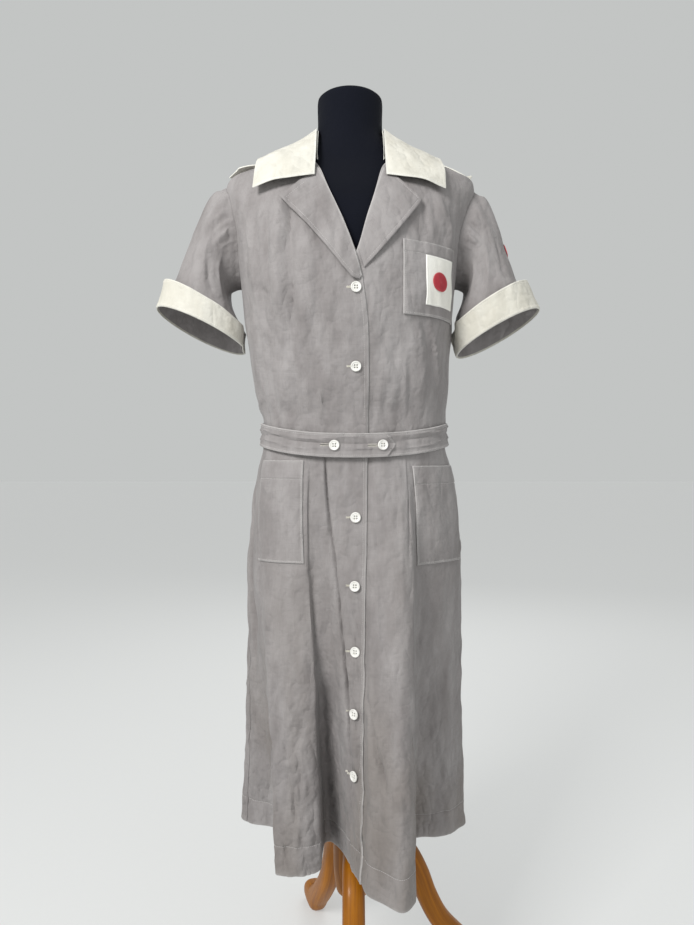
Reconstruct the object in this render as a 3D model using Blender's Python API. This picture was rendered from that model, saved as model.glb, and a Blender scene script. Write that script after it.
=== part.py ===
"""Nurse uniform dress buttoned on a limbless dress form that stands on three wooden legs.

Metres, +Z up. The front of the dress faces -Y and the wearer's left side is +X. The floor is z = 0 and
the origin lies on it under the middle of the whole object's box. The form's own axis stands FORM_AXIS away.

Every cloth piece is a thin wall. The bodice is measured by an angle about the form's axis, 0 at the front
and growing to the wearer's left, and by a climb, which is the height up to CHEST and beyond it the arc over
the shoulder. The skirt hangs from the waist line to a folded hem. Pockets, lapels and patches are cut from
the same charts and moved out.
"""

import math
from typing import NamedTuple

import bmesh
import bpy
import numpy as np
from mathutils import Matrix, Vector

FORM_AXIS = (0.008, 0.0042, 0.0)
WEARERS_RIGHT = -1
WEARERS_LEFT = 1

CLOTH = 0.0012
DOUBLED = 0.0018
SEAM = 0.0003
LAID_ON = 0.0005
SEWN_ON = 0.0009
WAIST_GAP = 0.0004
BADGE_THICK = 0.0010

CHEST = 1.14
ARC = 0.16
SQUARENESS = 2.2

WAIST = 0.894
WAIST_SAG = 0.0205
HEM = 0.262
BELT_HEIGHT = 0.035
UNDERARM = 1.125
NECK_CLIMB = 1.3405
SHOULDER_CLIMB = 1.243
OVERLAP_EDGE = 0.0215
UNDERLAP_EDGE = -0.018
OVERLAP_LIFT = 0.0018

BUTTON_RADIUS = 0.0076
BUTTON_THICK = 0.0030
BUTTON_X = 0.003
BODICE_BUTTONS = (1.095, 0.987)
BODICE_BUTTON_LIFT = 0.0003
BELT_BUTTONS = (-0.0267, 0.0404)
BELT_BUTTON_LIFT = 0.0006


class ButtonPlace(NamedTuple):
    """A skirt button: its height and how far its shank holds it off the folded cloth."""

    height: float
    lift: float


SKIRT_BUTTONS = (
    ButtonPlace(0.7710, 0.0006),
    ButtonPlace(0.6730, 0.0010),
    ButtonPlace(0.5790, 0.0008),
    ButtonPlace(0.4915, 0.0019),
    ButtonPlace(0.4035, 0.0017),
)


class Section(NamedTuple):
    """Half widths and half depths about the form's axis at one height."""

    height: float
    right: float
    left: float
    front: float
    back: float


BODY = (
    Section(0.780, 0.1450, 0.1470, 0.1060, 0.1000),
    Section(0.870, 0.1405, 0.1438, 0.1035, 0.0955),
    Section(0.914, 0.1407, 0.1440, 0.1040, 0.0957),
    Section(0.960, 0.1530, 0.1490, 0.1140, 0.1005),
    Section(1.020, 0.1620, 0.1510, 0.1240, 0.1060),
    Section(1.080, 0.1700, 0.1550, 0.1340, 0.1120),
    Section(1.130, 0.1760, 0.1600, 0.1360, 0.1170),
    Section(1.190, 0.1850, 0.1680, 0.1260, 0.1210),
    Section(1.240, 0.1960, 0.1820, 0.1080, 0.1180),
    Section(1.270, 0.2010, 0.1910, 0.0930, 0.1070),
    Section(1.288, 0.1980, 0.1890, 0.0810, 0.0960),
    Section(1.303, 0.1680, 0.1600, 0.0720, 0.0850),
    Section(1.320, 0.1250, 0.1190, 0.0640, 0.0750),
    Section(1.335, 0.0900, 0.0840, 0.0590, 0.0670),
    Section(1.348, 0.0670, 0.0590, 0.0560, 0.0610),
    Section(1.372, 0.0590, 0.0500, 0.0540, 0.0560),
)

FORM = (
    Section(0.600, 0.1480, 0.1480, 0.0860, 0.1040),
    Section(0.660, 0.1540, 0.1540, 0.0880, 0.1120),
    Section(0.740, 0.1530, 0.1530, 0.0880, 0.1120),
    Section(0.820, 0.1400, 0.1400, 0.0880, 0.0960),
    Section(0.890, 0.1240, 0.1250, 0.0840, 0.0820),
    Section(0.960, 0.1340, 0.1310, 0.0960, 0.0880),
    Section(1.040, 0.1500, 0.1410, 0.1130, 0.0980),
    Section(1.110, 0.1590, 0.1470, 0.1240, 0.1070),
    Section(1.180, 0.1660, 0.1530, 0.1160, 0.1130),
    Section(1.236, 0.1740, 0.1640, 0.1010, 0.1120),
    Section(1.266, 0.1770, 0.1700, 0.0875, 0.1015),
    Section(1.285, 0.1730, 0.1650, 0.0765, 0.0915),
    Section(1.300, 0.1610, 0.1530, 0.0690, 0.0815),
    Section(1.317, 0.1190, 0.1130, 0.0610, 0.0720),
    Section(1.332, 0.0840, 0.0780, 0.0560, 0.0635),
    Section(1.346, 0.0595, 0.0515, 0.0515, 0.0560),
    Section(1.372, 0.0560, 0.0465, 0.0515, 0.0530),
)
FORM_CLIMBS = (0.600, 0.625, 0.680, 0.750, 0.820, 0.885, 0.950, 1.020, 1.080, 1.140, 1.175, 1.205, 1.225, 1.243,
               1.262, 1.285, 1.310, 1.335)
NECK_X = -0.0048


class Ring(NamedTuple):
    """A round section: its height and its radius."""

    height: float
    radius: float


NECK_RINGS = (
    Ring(1.3650, 0.0520),
    Ring(1.3850, 0.0510),
    Ring(1.4150, 0.0515),
    Ring(1.4225, 0.0508),
    Ring(1.4250, 0.0480),
)


class ArmholeRow(NamedTuple):
    """A place on the armhole: its turn about the arm, its climb, and its angle round from the front."""

    turn: float
    climb: float
    angle: float


ARMHOLE = (
    ArmholeRow(0, SHOULDER_CLIMB, 90),
    ArmholeRow(40, 1.228, 79),
    ArmholeRow(90, 1.190, 75),
    ArmholeRow(140, 1.148, 80),
    ArmholeRow(180, UNDERARM, 90),
    ArmholeRow(220, 1.148, 101),
    ArmholeRow(270, 1.190, 107),
    ArmholeRow(320, 1.228, 102),
    ArmholeRow(360, SHOULDER_CLIMB, 90),
)


class FrontEdge(NamedTuple):
    """A place up a front's inner edge: the share of the way from waist to shoulder, and its x and z."""

    share: float
    x: float
    z: float


OVERLAP_FRONT = (
    FrontEdge(0.000, OVERLAP_EDGE, 0.874),
    FrontEdge(0.210, OVERLAP_EDGE, 0.970),
    FrontEdge(0.360, 0.0205, 1.040),
    FrontEdge(0.440, 0.0165, 1.080),
    FrontEdge(0.510, 0.0105, 1.116),
    FrontEdge(0.570, 0.0012, 1.150),
    FrontEdge(0.670, -0.0220, 1.213),
    FrontEdge(0.775, -0.0525, 1.290),
)
UNDERLAP_FRONT = (
    FrontEdge(0.000, UNDERLAP_EDGE, 0.874),
    FrontEdge(0.210, UNDERLAP_EDGE, 0.970),
    FrontEdge(0.360, UNDERLAP_EDGE, 1.040),
    FrontEdge(0.440, -0.0150, 1.080),
    FrontEdge(0.510, -0.0070, 1.116),
    FrontEdge(0.570, 0.0048, 1.150),
    FrontEdge(0.670, 0.0225, 1.213),
    FrontEdge(0.775, 0.0440, 1.290),
)


class BodiceFold(NamedTuple):
    """A soft fold on the bodice: where it starts and ends, its half width and its height."""

    top_x: float
    top: float
    low_x: float
    low: float
    width: float
    height: float


FRONT_FOLDS = (
    BodiceFold(-0.140, 1.240, -0.134, 1.070, 0.011, 0.0045),
    BodiceFold(-0.106, 1.250, -0.108, 1.030, 0.012, 0.0060),
    BodiceFold(-0.070, 1.215, -0.076, 0.990, 0.012, 0.0045),
    BodiceFold(0.118, 1.250, 0.128, 1.175, 0.011, 0.0045),
    BodiceFold(0.088, 1.050, 0.104, 0.920, 0.012, 0.0035),
    BodiceFold(0.055, 1.000, 0.060, 0.920, 0.011, 0.0030),
    BodiceFold(-0.112, 1.000, -0.100, 0.920, 0.011, 0.0035),
    BodiceFold(-0.045, 0.980, -0.044, 0.920, 0.010, 0.0025),
)
BACK_FOLDS = (
    BodiceFold(-0.118, 1.220, -0.102, 0.940, 0.013, 0.0045),
    BodiceFold(-0.070, 1.205, -0.062, 0.920, 0.012, 0.0050),
    BodiceFold(-0.024, 1.080, -0.020, 0.920, 0.011, 0.0030),
    BodiceFold(0.026, 1.060, 0.020, 0.920, 0.011, 0.0035),
    BodiceFold(0.074, 1.205, 0.060, 0.920, 0.012, 0.0045),
    BodiceFold(0.116, 1.215, 0.098, 0.940, 0.013, 0.0040),
)


class SkirtFold(NamedTuple):
    """A line down the skirt: its angle at the waist, its place at the hem, how late it leaves the waist."""

    angle: float
    hem_x: float
    hem_y: float
    ease: float


SKIRT_FOLDS = (
    SkirtFold(-176, -0.012, 0.142, 1.6),
    SkirtFold(-166, -0.046, 0.176, 1.0),
    SkirtFold(-153, -0.084, 0.136, 1.6),
    SkirtFold(-140, -0.122, 0.156, 1.0),
    SkirtFold(-126, -0.140, 0.108, 1.6),
    SkirtFold(-113, -0.176, 0.098, 1.0),
    SkirtFold(-103, -0.170, 0.066, 1.4),
    SkirtFold(-95, -0.183, 0.044, 1.0),
    SkirtFold(-88, -0.165, 0.026, 1.0),
    SkirtFold(-82, -0.129, 0.013, 2.0),
    SkirtFold(-78, -0.099, -0.022, 2.4),
    SkirtFold(-75, -0.101, -0.072, 2.0),
    SkirtFold(-71, -0.111, -0.115, 1.0),
    SkirtFold(-53, -0.080, -0.119, 1.0),
    SkirtFold(-35, -0.047, -0.103, 1.0),
    SkirtFold(-32.5, -0.046, -0.065, 1.3),
    SkirtFold(-30, -0.044, -0.034, 1.5),
    SkirtFold(-27, -0.0356, -0.0290, 1.5),
    SkirtFold(-24, -0.0247, -0.0410, 1.4),
    SkirtFold(-21, -0.0137, -0.0640, 1.3),
    SkirtFold(-16, -0.0034, -0.0980, 1.1),
    SkirtFold(-2, 0.0037, -0.1185, 1.0),
    SkirtFold(11, 0.0108, -0.1385, 1.0),
    SkirtFold(15, 0.0180, -0.1610, 1.0),
    SkirtFold(22, 0.0385, -0.1790, 1.0),
    SkirtFold(32, 0.0630, -0.1990, 1.0),
    SkirtFold(39.5, 0.0810, -0.1790, 1.0),
    SkirtFold(42, 0.087, -0.110, 1.6),
    SkirtFold(45, 0.089, -0.042, 2.0),
    SkirtFold(49, 0.098, -0.017, 1.8),
    SkirtFold(58, 0.121, -0.016, 1.4),
    SkirtFold(69, 0.149, -0.010, 1.1),
    SkirtFold(79, 0.166, 0.007, 1.0),
    SkirtFold(90, 0.182, 0.028, 1.0),
    SkirtFold(98, 0.171, 0.062, 1.4),
    SkirtFold(108, 0.174, 0.098, 1.0),
    SkirtFold(121, 0.138, 0.104, 1.6),
    SkirtFold(134, 0.118, 0.156, 1.0),
    SkirtFold(147, 0.078, 0.134, 1.6),
    SkirtFold(161, 0.038, 0.178, 1.0),
    SkirtFold(172, 0.008, 0.152, 1.5),
)
SKIRT_ROWS = (0.0, 0.03, 0.085, 0.17, 0.30, 0.48, 0.72, 1.0)
BELTED = 0.028
FOLD_STEP = 0.030
HIP_ROWS = (0.0, BELTED, 0.085, 0.17, 0.30, 0.50, 0.75, 1.0)
HIP_SHARE = (0.0, 0.0, 0.45, 0.90, 1.0, 0.62, 0.18, 0.0)
HIP_SIDE = 0.016
HIP_BACK = 0.018
FORM_CLEAR = 0.0035
UNDERLAP_ANGLE = -12.0
SIDE_SEAM = 0.12
OVERLAP_ANGLE = 11.0


class Patch(NamedTuple):
    """A flat piece sewn on: its sides, in x and z on the bodice, in angle and height on the skirt."""

    name: str
    inner: float
    outer: float
    top: float
    low: float


CHEST_POCKET = Patch("chest_pocket", 0.069, 0.1475, 1.166, 1.061)
EMBLEM_PATCH = Patch("chest_patch", 0.101, 0.141, 1.147, 1.077)
DISC_RADIUS = 0.0135
SKIRT_POCKETS = (
    Patch("skirt_pocket_right", -73.0, -38.0, 0.853, 0.703),
    Patch("skirt_pocket_left", 43.5, 82.0, 0.845, 0.699),
)


class SleeveRing(NamedTuple):
    """A ring at the sleeve's end: its middle, half width, half depth and the tilt of its outer side."""

    x: float
    y: float
    z: float
    half_width: float
    half_depth: float
    tilt: float


class Sleeve(NamedTuple):
    """A short sleeve: which side it is on, the ring at the cuff's top and the ring at its lower edge."""

    name: str
    side: int
    cuff_top: SleeveRing
    cuff_low: SleeveRing


SLEEVES = (
    Sleeve("right", WEARERS_RIGHT, SleeveRing(-0.2290, -0.012, 1.0900, 0.0620, 0.053, 32.0),
           SleeveRing(-0.2385, -0.014, 1.0555, 0.0730, 0.058, 24.5)),
    Sleeve("left", WEARERS_LEFT, SleeveRing(0.2085, -0.012, 1.0890, 0.0610, 0.053, 32.0),
           SleeveRing(0.2280, -0.014, 1.0515, 0.0690, 0.058, 27.5)),
)
CUFF_FACES_FRONT = 11.0
SLEEVE_ROWS = (0.0, 0.07, 0.17, 0.32, 0.52, 0.76, 1.0)
GATHERS = 6
GATHER_HEIGHT = 0.0045
HEAD_SPANS = 4
SLEEVE_SEAM = 0.0008
PUFF = 0.125
CUFF_FLARE = 0.0060
CUFF_FLARE_OUTSIDE = 0.0035
CUFF_COVERS_TO = 1.93
SLEEVE_RADIUS = 0.075
SLEEVE_LENGTH = 0.19
BADGE_TURN = 8.0
BADGE_SHARE = 0.62


class CollarRow(NamedTuple):
    """A line across the collar on the wearer's left, from the roll beside the neck to its outer edge."""

    roll: tuple
    middle: tuple
    edge: tuple


COLLAR = (
    CollarRow((0.0510, -0.1000, 1.2680), (0.0930, -0.1030, 1.2600), (0.1385, -0.0900, 1.2515)),
    CollarRow((0.0515, -0.0710, 1.3220), (0.0970, -0.0770, 1.3010), (0.1370, -0.0720, 1.2850)),
    CollarRow((0.0540, -0.0320, 1.3650), (0.0940, -0.0350, 1.3340), (0.1340, -0.0300, 1.3175)),
    CollarRow((0.0560, 0.0120, 1.3810), (0.0940, 0.0180, 1.3460), (0.1290, 0.0240, 1.3235)),
    CollarRow((0.0430, 0.0460, 1.3860), (0.0780, 0.0640, 1.3480), (0.0990, 0.0760, 1.3120)),
    CollarRow((0.0000, 0.0640, 1.3870), (0.0000, 0.0880, 1.3500), (0.0000, 0.0980, 1.3000)),
)
COLLAR_RIGHT_STRETCH = 1.035
COLLAR_SHIFT = -0.0035


class LapelRow(NamedTuple):
    """A line across a lapel from its roll to its free edge, in x and z on the front, from the foot upward."""

    roll_x: float
    roll_z: float
    free_x: float
    free_z: float


LAPEL_RIGHT = (
    LapelRow(0.0108, 1.1110, 0.0070, 1.1055),
    LapelRow(0.0070, 1.1260, -0.0010, 1.1075),
    LapelRow(0.0000, 1.1500, -0.0130, 1.1200),
    LapelRow(-0.0228, 1.2130, -0.0562, 1.1740),
    LapelRow(-0.0530, 1.2840, -0.1043, 1.2310),
)
LAPEL_LEFT = (
    LapelRow(0.0060, 1.1500, 0.0145, 1.1220),
    LapelRow(0.0140, 1.1810, 0.0350, 1.1440),
    LapelRow(0.0233, 1.2130, 0.0560, 1.1700),
    LapelRow(0.0340, 1.2500, 0.0760, 1.1970),
    LapelRow(0.0448, 1.2840, 0.0970, 1.2260),
)
LAPEL_SPRING = 0.0050
LAPEL_BELLY = 0.0015


class LegPoint(NamedTuple):
    """A place on a leg's middle line: its reach from the axis, its height and half its thickness there."""

    reach: float
    height: float
    half: float


LEG = (
    LegPoint(0.0318, 0.2370, 0.0185),
    LegPoint(0.0580, 0.2370, 0.0185),
    LegPoint(0.0860, 0.2220, 0.0180),
    LegPoint(0.1070, 0.1880, 0.0170),
    LegPoint(0.1215, 0.1500, 0.0168),
    LegPoint(0.1420, 0.1100, 0.0168),
    LegPoint(0.1740, 0.0720, 0.0175),
    LegPoint(0.2080, 0.0390, 0.0190),
    LegPoint(0.2340, 0.0190, 0.0230),
    LegPoint(0.2590, 0.0170, 0.0205),
    LegPoint(0.2690, 0.0165, 0.0130),
)
LEG_ANGLES = {"leg_front": 270.0, "leg_right": 12.0, "leg_rear": 107.0}
LEG_HALF_WIDTH = 0.0165
LEG_RINGS = 17
LEG_CORNERS = 10
HUB_RINGS = (
    Ring(0.165, 0.018),
    Ring(0.172, 0.026),
    Ring(0.190, 0.029),
    Ring(0.215, 0.031),
    Ring(0.280, 0.031),
    Ring(0.292, 0.027),
    Ring(0.300, 0.020),
)
POLE_RADIUS = 0.014

FINISHES = {
    "dress cloth": ((0.30, 0.285, 0.28, 1.0), 0.85, 0.0),
    "white cloth": ((0.80, 0.79, 0.72, 1.0), 0.85, 0.0),
    "red cloth": ((0.41, 0.04, 0.05, 1.0), 0.85, 0.0),
    "white button": ((0.70, 0.69, 0.67, 1.0), 0.35, 0.0),
    "black jersey": ((0.012, 0.014, 0.020, 1.0), 0.90, 0.0),
    "orange wood": ((0.33, 0.12, 0.012, 1.0), 0.45, 0.0),
    "steel": ((0.45, 0.45, 0.46, 1.0), 0.35, 1.0),
}


# Curves and the body's surface

def curve(places, values, at):
    """A smooth curve through values at places that never overshoots, level past both ends."""
    places = np.asarray(places, float)
    values = np.asarray(values, float)
    step = np.diff(places)
    slope = np.diff(values) / step
    lean = np.concatenate([slope[:1], np.zeros(len(slope) - 1), slope[-1:]])
    both = slope[:-1] * slope[1:]
    total = np.where(both > 0, slope[:-1] + slope[1:], 1.0)
    lean[1:-1] = np.where(both > 0, 2 * both / total, 0.0)
    at = np.clip(at, places[0], places[-1])
    k = np.clip(np.searchsorted(places, at, side="right") - 1, 0, len(step) - 1)
    t = (at - places[k]) / step[k]
    start = values[k] * (1 + 2 * t) * (1 - t) ** 2 + values[k + 1] * t * t * (3 - 2 * t)
    return start + step[k] * (lean[k] * t * (1 - t) ** 2 - lean[k + 1] * t * t * (1 - t))


def ramp(value, start, end):
    """0 before start, 1 after end, smooth between."""
    t = np.clip((value - start) / (end - start), 0.0, 1.0)
    return t * t * (3 - 2 * t)


def unit(vectors):
    """The same directions, one metre long."""
    return vectors / np.maximum(np.linalg.norm(vectors, axis=-1, keepdims=True), 1e-9)


def reach(sections, points):
    """How far out points lie: below 1 inside the body, 1 on it."""
    x, y, z = points[..., 0], points[..., 1], points[..., 2]
    table = np.array(sections)
    right, left, front, back = (curve(table[:, 0], table[:, k], z) for k in range(1, 5))
    across = np.where(x < 0, -x / right, x / left)
    deep = np.where(y < 0, -y / front, y / back)
    return across**SQUARENESS + deep**SQUARENESS


def cast(sections, angle, climb):
    """The body's surface at an angle and a climb."""
    angle, climb = np.broadcast_arrays(np.radians(angle), np.asarray(climb, float))
    rise = np.maximum(climb - CHEST, 0.0) / ARC
    way = np.stack([np.sin(angle) * np.cos(rise), -np.cos(angle) * np.cos(rise), np.sin(rise)], axis=-1)
    start = np.zeros(way.shape)
    start[..., 2] = np.minimum(climb, CHEST)
    near = np.zeros(angle.shape)
    far = np.full(angle.shape, 0.45)
    for _ in range(40):
        half = (near + far) / 2
        outside = reach(sections, start + way * half[..., None]) > 1
        far = np.where(outside, half, far)
        near = np.where(outside, near, half)
    return start + way * near[..., None]


def outward(sections, points):
    """The body's outward direction at points on it."""
    step = 2e-4
    sides = []
    for axis in np.eye(3) * step:
        sides.append(reach(sections, points + axis) - reach(sections, points - axis))
    return unit(np.stack(sides, axis=-1))


def clear_of(sections, margin, points, share):
    """Points that lie nearer the body than the margin, moved out from its axis by a share of the way."""
    wider = np.array(sections)
    wider = wider + [0, 1, 1, 1, 1] * np.full(5, margin)
    depth = reach(wider, points) ** (1 / SQUARENESS)
    grow = 1 + np.maximum(1 / np.maximum(depth, 0.2) - 1, 0.0) * share
    return points * np.stack([grow, grow, np.ones(grow.shape)], axis=-1)


def fold_height(points):
    """How far the bodice's soft folds stand out at points on it."""
    x, y, z = points[..., 0], points[..., 1], points[..., 2]
    total = np.zeros(x.shape)
    for folds, on_side in ((FRONT_FOLDS, y < 0), (BACK_FOLDS, y > 0)):
        for fold in folds:
            along = np.clip((z - fold.low) / (fold.top - fold.low), 0.0, 1.0)
            middle = fold.low_x + (fold.top_x - fold.low_x) * along
            fade = 0.3 * (fold.top - fold.low)
            held = ramp(z, fold.low, fold.low + fade) * (1 - ramp(z, fold.top - fade * 0.6, fold.top))
            total += on_side * fold.height * np.exp(-((x - middle) / fold.width) ** 2) * held
    return total


def bodice(angle, climb, out=0.0):
    """A place on the bodice, out metres from the inner face of its cloth."""
    points = cast(BODY, angle, climb)
    return points + outward(BODY, points) * (fold_height(points) + out)[..., None]


def chart(x, z):
    """The angle and climb of the front at x and z."""
    x = np.asarray(x, float)
    z = np.asarray(z, float)
    table = np.array(BODY)
    right, left, front = (curve(table[:, 0], table[:, k], z) for k in (1, 2, 3))
    across = np.where(x < 0, -x / right, x / left)
    y = -front * np.maximum(1 - across**SQUARENESS, 0.0) ** (1 / SQUARENESS)
    rise = np.arctan2(z - CHEST, np.hypot(x, y))
    climb = np.where(z > CHEST, CHEST + ARC * rise, z)
    return np.degrees(np.arctan2(x, -y)), climb


def waist_height(angle):
    """The waist seam dips at the front."""
    return WAIST - WAIST_SAG * np.maximum(np.cos(np.radians(angle)), 0.0) ** 1.5


def armhole(side, turn):
    """Angle and climb of the armhole at a turn about the arm: 0 on the shoulder, 90 at the front."""
    table = np.array(ARMHOLE)
    turn = np.mod(turn, 360.0)
    return side * curve(table[:, 0], table[:, 2], turn), curve(table[:, 0], table[:, 1], turn)


# Walls of cloth

def new_object(name, points, faces, finish):
    """A closed mesh under the form's axis, shaded smooth but for its sharp edges."""
    mesh = bpy.data.meshes.new(name)
    mesh.from_pydata([tuple(p) for p in points], [], faces)
    shape = bmesh.new()
    shape.from_mesh(mesh)
    bmesh.ops.recalc_face_normals(shape, faces=shape.faces)
    shape.to_mesh(mesh)
    shape.free()
    mesh.shade_smooth()
    mesh.set_sharp_from_angle(angle=math.radians(50))
    made = bpy.data.objects.new(name, mesh)
    bpy.context.scene.collection.objects.link(made)
    made.parent = form_axis
    mesh.materials.append(materials[finish])
    return made


def wall(name, outer, inner, finish, ring=False):
    """A closed wall between two grids of points, rows by columns; a ring joins its last column to its first."""
    rows, columns, _ = outer.shape
    points = np.concatenate([outer.reshape(-1, 3), inner.reshape(-1, 3)])
    back = rows * columns
    faces = []
    spans = columns if ring else columns - 1
    for j in range(spans):
        k = (j + 1) % columns
        for i in range(rows - 1):
            a, b, c, d = i * columns + j, i * columns + k, (i + 1) * columns + k, (i + 1) * columns + j
            faces += [(a, b, c), (a, c, d)]
            faces += [(back + c, back + b, back + a), (back + d, back + c, back + a)]
        top, end = (rows - 1) * columns + j, (rows - 1) * columns + k
        faces += [(k, j, back + j), (k, back + j, back + k)]
        faces += [(top, end, back + end), (top, back + end, back + top)]
    if not ring:
        for i in range(rows - 1):
            a, d = i * columns, (i + 1) * columns
            b, c = a + columns - 1, d + columns - 1
            faces += [(a, d, back + d), (a, back + d, back + a)]
            faces += [(c, b, back + b), (c, back + b, back + c)]
    return new_object(name, points, faces, finish)


def patch_chart(low, top, inner, outer, across, up):
    """Chart places of a four-sided piece from its edges, which are functions of a share from 0 to 1."""
    u, v = np.meshgrid(across, up)
    places = []
    for k in (0, 1):
        rise = v**3
        sides = (1 - rise) * low(u)[k] + rise * top(u)[k] + (1 - u) * inner(v)[k] + u * outer(v)[k]
        corners = (1 - u) * (1 - rise) * low(np.zeros(1))[k] + u * (1 - rise) * low(np.ones(1))[k]
        corners = corners + (1 - u) * rise * top(np.zeros(1))[k] + u * rise * top(np.ones(1))[k]
        places.append(sides - corners)
    return places


def through(shares, rows):
    """A path on a chart through rows of angle and climb, as a function of a share from 0 to 1."""
    table = np.array(rows, float)

    def at(share):
        return curve(shares, table[:, 0], share), curve(shares, table[:, 1], share)

    return at


# Bodice

SIDE_SHARE = 0.60
FRONT_COLUMNS = 18
BACK_COLUMNS = 14
SEAM_ROWS = (0.0, 0.06, 0.14, 0.23, 0.33, 0.43, 0.52)
ARMHOLE_SPANS = 7
PANEL_ROWS = np.concatenate([SEAM_ROWS, SIDE_SHARE + (1 - SIDE_SHARE) * np.arange(8) / ARMHOLE_SPANS])


def side_edge(side, first_turn, last_turn):
    """The side seam from the waist to the underarm and on round the armhole to the shoulder."""

    def at(share):
        share = np.asarray(share, float)
        low = waist_height(90.0) + WAIST_GAP
        seam = low + (UNDERARM - low) * np.clip(share / SIDE_SHARE, 0, 1)
        past = np.clip((share - SIDE_SHARE) / (1 - SIDE_SHARE), 0, 1)
        angle, climb = armhole(side, first_turn + (last_turn - first_turn) * past)
        on_seam = share <= SIDE_SHARE
        return np.where(on_seam, side * 90.0, angle), np.where(on_seam, seam, climb)

    return at


def front_inner_edge(side):
    """The front edge up from the waist, round the foot of the lapel and up the roll line to the neck."""
    edge = OVERLAP_FRONT if side == WEARERS_RIGHT else UNDERLAP_FRONT
    rows = [tuple(float(v) for v in chart(place.x, place.z)) for place in edge]
    rows.append((side * 90.0, NECK_CLIMB))
    return through([place.share for place in edge] + [1.0], rows)


def front_grid(side, out):
    """The points of one front, out metres from its inner face."""
    inner = front_inner_edge(side)
    start = float(inner(0.0)[0])
    climb_from = float(inner(0.0)[1])

    def low(share):
        angle = start + (side * 90.0 - start) * share
        height = waist_height(angle) + WAIST_GAP
        return angle, height + (climb_from - height) * (share == 0)

    def top(share):
        return side * 90.0 + 0.0 * share, NECK_CLIMB + (SHOULDER_CLIMB - NECK_CLIMB) * share

    across = np.linspace(0, 1, FRONT_COLUMNS)
    angle, climb = patch_chart(low, top, inner, side_edge(side, 180.0, 0.0), across, PANEL_ROWS)
    return apart(bodice(angle, climb, out + lap_lift(side, angle, climb)), -1)


def apart(points, way):
    """Moves the side and shoulder edges half a seam's gap forward or back."""
    points[-1, :, 1] += way * SEAM * 0.7
    points[:-1, -1, 1] += way * SEAM * 0.7
    return points


def lap_lift(side, angle, climb):
    """The wearer's right front lies over the left one down the middle."""
    x = cast(BODY, angle, climb)[..., 0]
    low_enough = 1 - ramp(climb, CHEST + 0.02, CHEST + 0.06)
    return OVERLAP_LIFT * ramp(x, -0.050, -0.022) * low_enough * (side == WEARERS_RIGHT)


def back_grid(out):
    """The points of the back, one piece from side seam to side seam."""
    halves = []
    for side in (WEARERS_LEFT, WEARERS_RIGHT):

        def low(share, side=side):
            angle = side * (180.0 - 90.0 * share)
            return angle, waist_height(angle) + WAIST_GAP

        def inner(share, side=side):
            start = waist_height(180.0) + WAIST_GAP
            return side * 180.0 + 0.0 * share, start + (NECK_CLIMB - start) * share

        top = through((0.0, 0.30, 0.42, 1.0), ((side * 180.0, NECK_CLIMB), (side * 112.0, NECK_CLIMB),
                                               (side * 90.0, NECK_CLIMB), (side * 90.0, SHOULDER_CLIMB)))
        across = np.linspace(0, 1, BACK_COLUMNS)
        outer = side_edge(side, 180.0, 360.0 - 1e-6)
        angle, climb = patch_chart(low, top, inner, outer, across, PANEL_ROWS)
        halves.append(apart(bodice(angle, climb, out + 0.0 * angle), 1))
    left, right = halves
    return np.concatenate([left[:, ::-1], right[:, 1:]], axis=1)


def front_piece(x, z, out, side):
    """Points at x and z on a front, out metres from its outer face."""
    angle, climb = chart(x, z)
    return bodice(angle, climb, CLOTH + out + lap_lift(side, angle, climb))


def add_bodice():
    """Two fronts and the back."""
    for side, name in ((WEARERS_RIGHT, "bodice_front_right"), (WEARERS_LEFT, "bodice_front_left")):
        wall(name, front_grid(side, CLOTH), front_grid(side, 0.0), "dress cloth")
    wall("bodice_back", back_grid(CLOTH), back_grid(0.0), "dress cloth")


def add_lapels():
    """Each front turns back above the top button; its facing lies on it and springs off it at the tip."""
    across, up = np.meshgrid(np.linspace(0, 1, 8), np.linspace(0, 1, 11))
    for name, side, rows in (("lapel_right", WEARERS_RIGHT, LAPEL_RIGHT),
                             ("lapel_left", WEARERS_LEFT, LAPEL_LEFT)):
        table = np.array(rows)
        shares = np.linspace(0, 1, len(table))
        roll_x, roll_z, free_x, free_z = (curve(shares, table[:, k], up) for k in range(4))
        x = roll_x + (free_x - roll_x) * across
        z = roll_z + (free_z - roll_z) * across
        spring = LAID_ON + LAPEL_SPRING * across * up**2 + LAPEL_BELLY * np.sin(np.pi * up) * across
        inner = front_piece(x, z, spring, side)
        outer = front_piece(x, z, spring + DOUBLED, side)
        wall(name, outer, inner, "dress cloth")


def rectangle(patch, columns, rows):
    """The chart of a flat piece."""
    return np.meshgrid(np.linspace(patch.inner, patch.outer, columns), np.linspace(patch.low, patch.top, rows))


def add_chest_pocket():
    """A patch pocket on the wearer's left breast, a white patch on it and a plain round badge on that."""
    x, z = rectangle(CHEST_POCKET, 10, 9)
    pocket_out = LAID_ON + SEWN_ON
    wall(CHEST_POCKET.name, front_piece(x, z, pocket_out + CLOTH, WEARERS_LEFT),
         front_piece(x, z, pocket_out, WEARERS_LEFT), "dress cloth")
    x, z = rectangle(EMBLEM_PATCH, 7, 8)
    patch_out = pocket_out + CLOTH + LAID_ON
    wall(EMBLEM_PATCH.name, front_piece(x, z, patch_out + BADGE_THICK, WEARERS_LEFT),
         front_piece(x, z, patch_out, WEARERS_LEFT), "white cloth")
    disc_out = patch_out + BADGE_THICK + LAID_ON
    middle_x = (EMBLEM_PATCH.inner + EMBLEM_PATCH.outer) / 2
    middle_z = (EMBLEM_PATCH.top + EMBLEM_PATCH.low) / 2

    def place(across, up, out):
        return front_piece(middle_x + across * 0.82, middle_z + up, disc_out + out, WEARERS_LEFT)

    add_disc("chest_disc", place)


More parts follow.
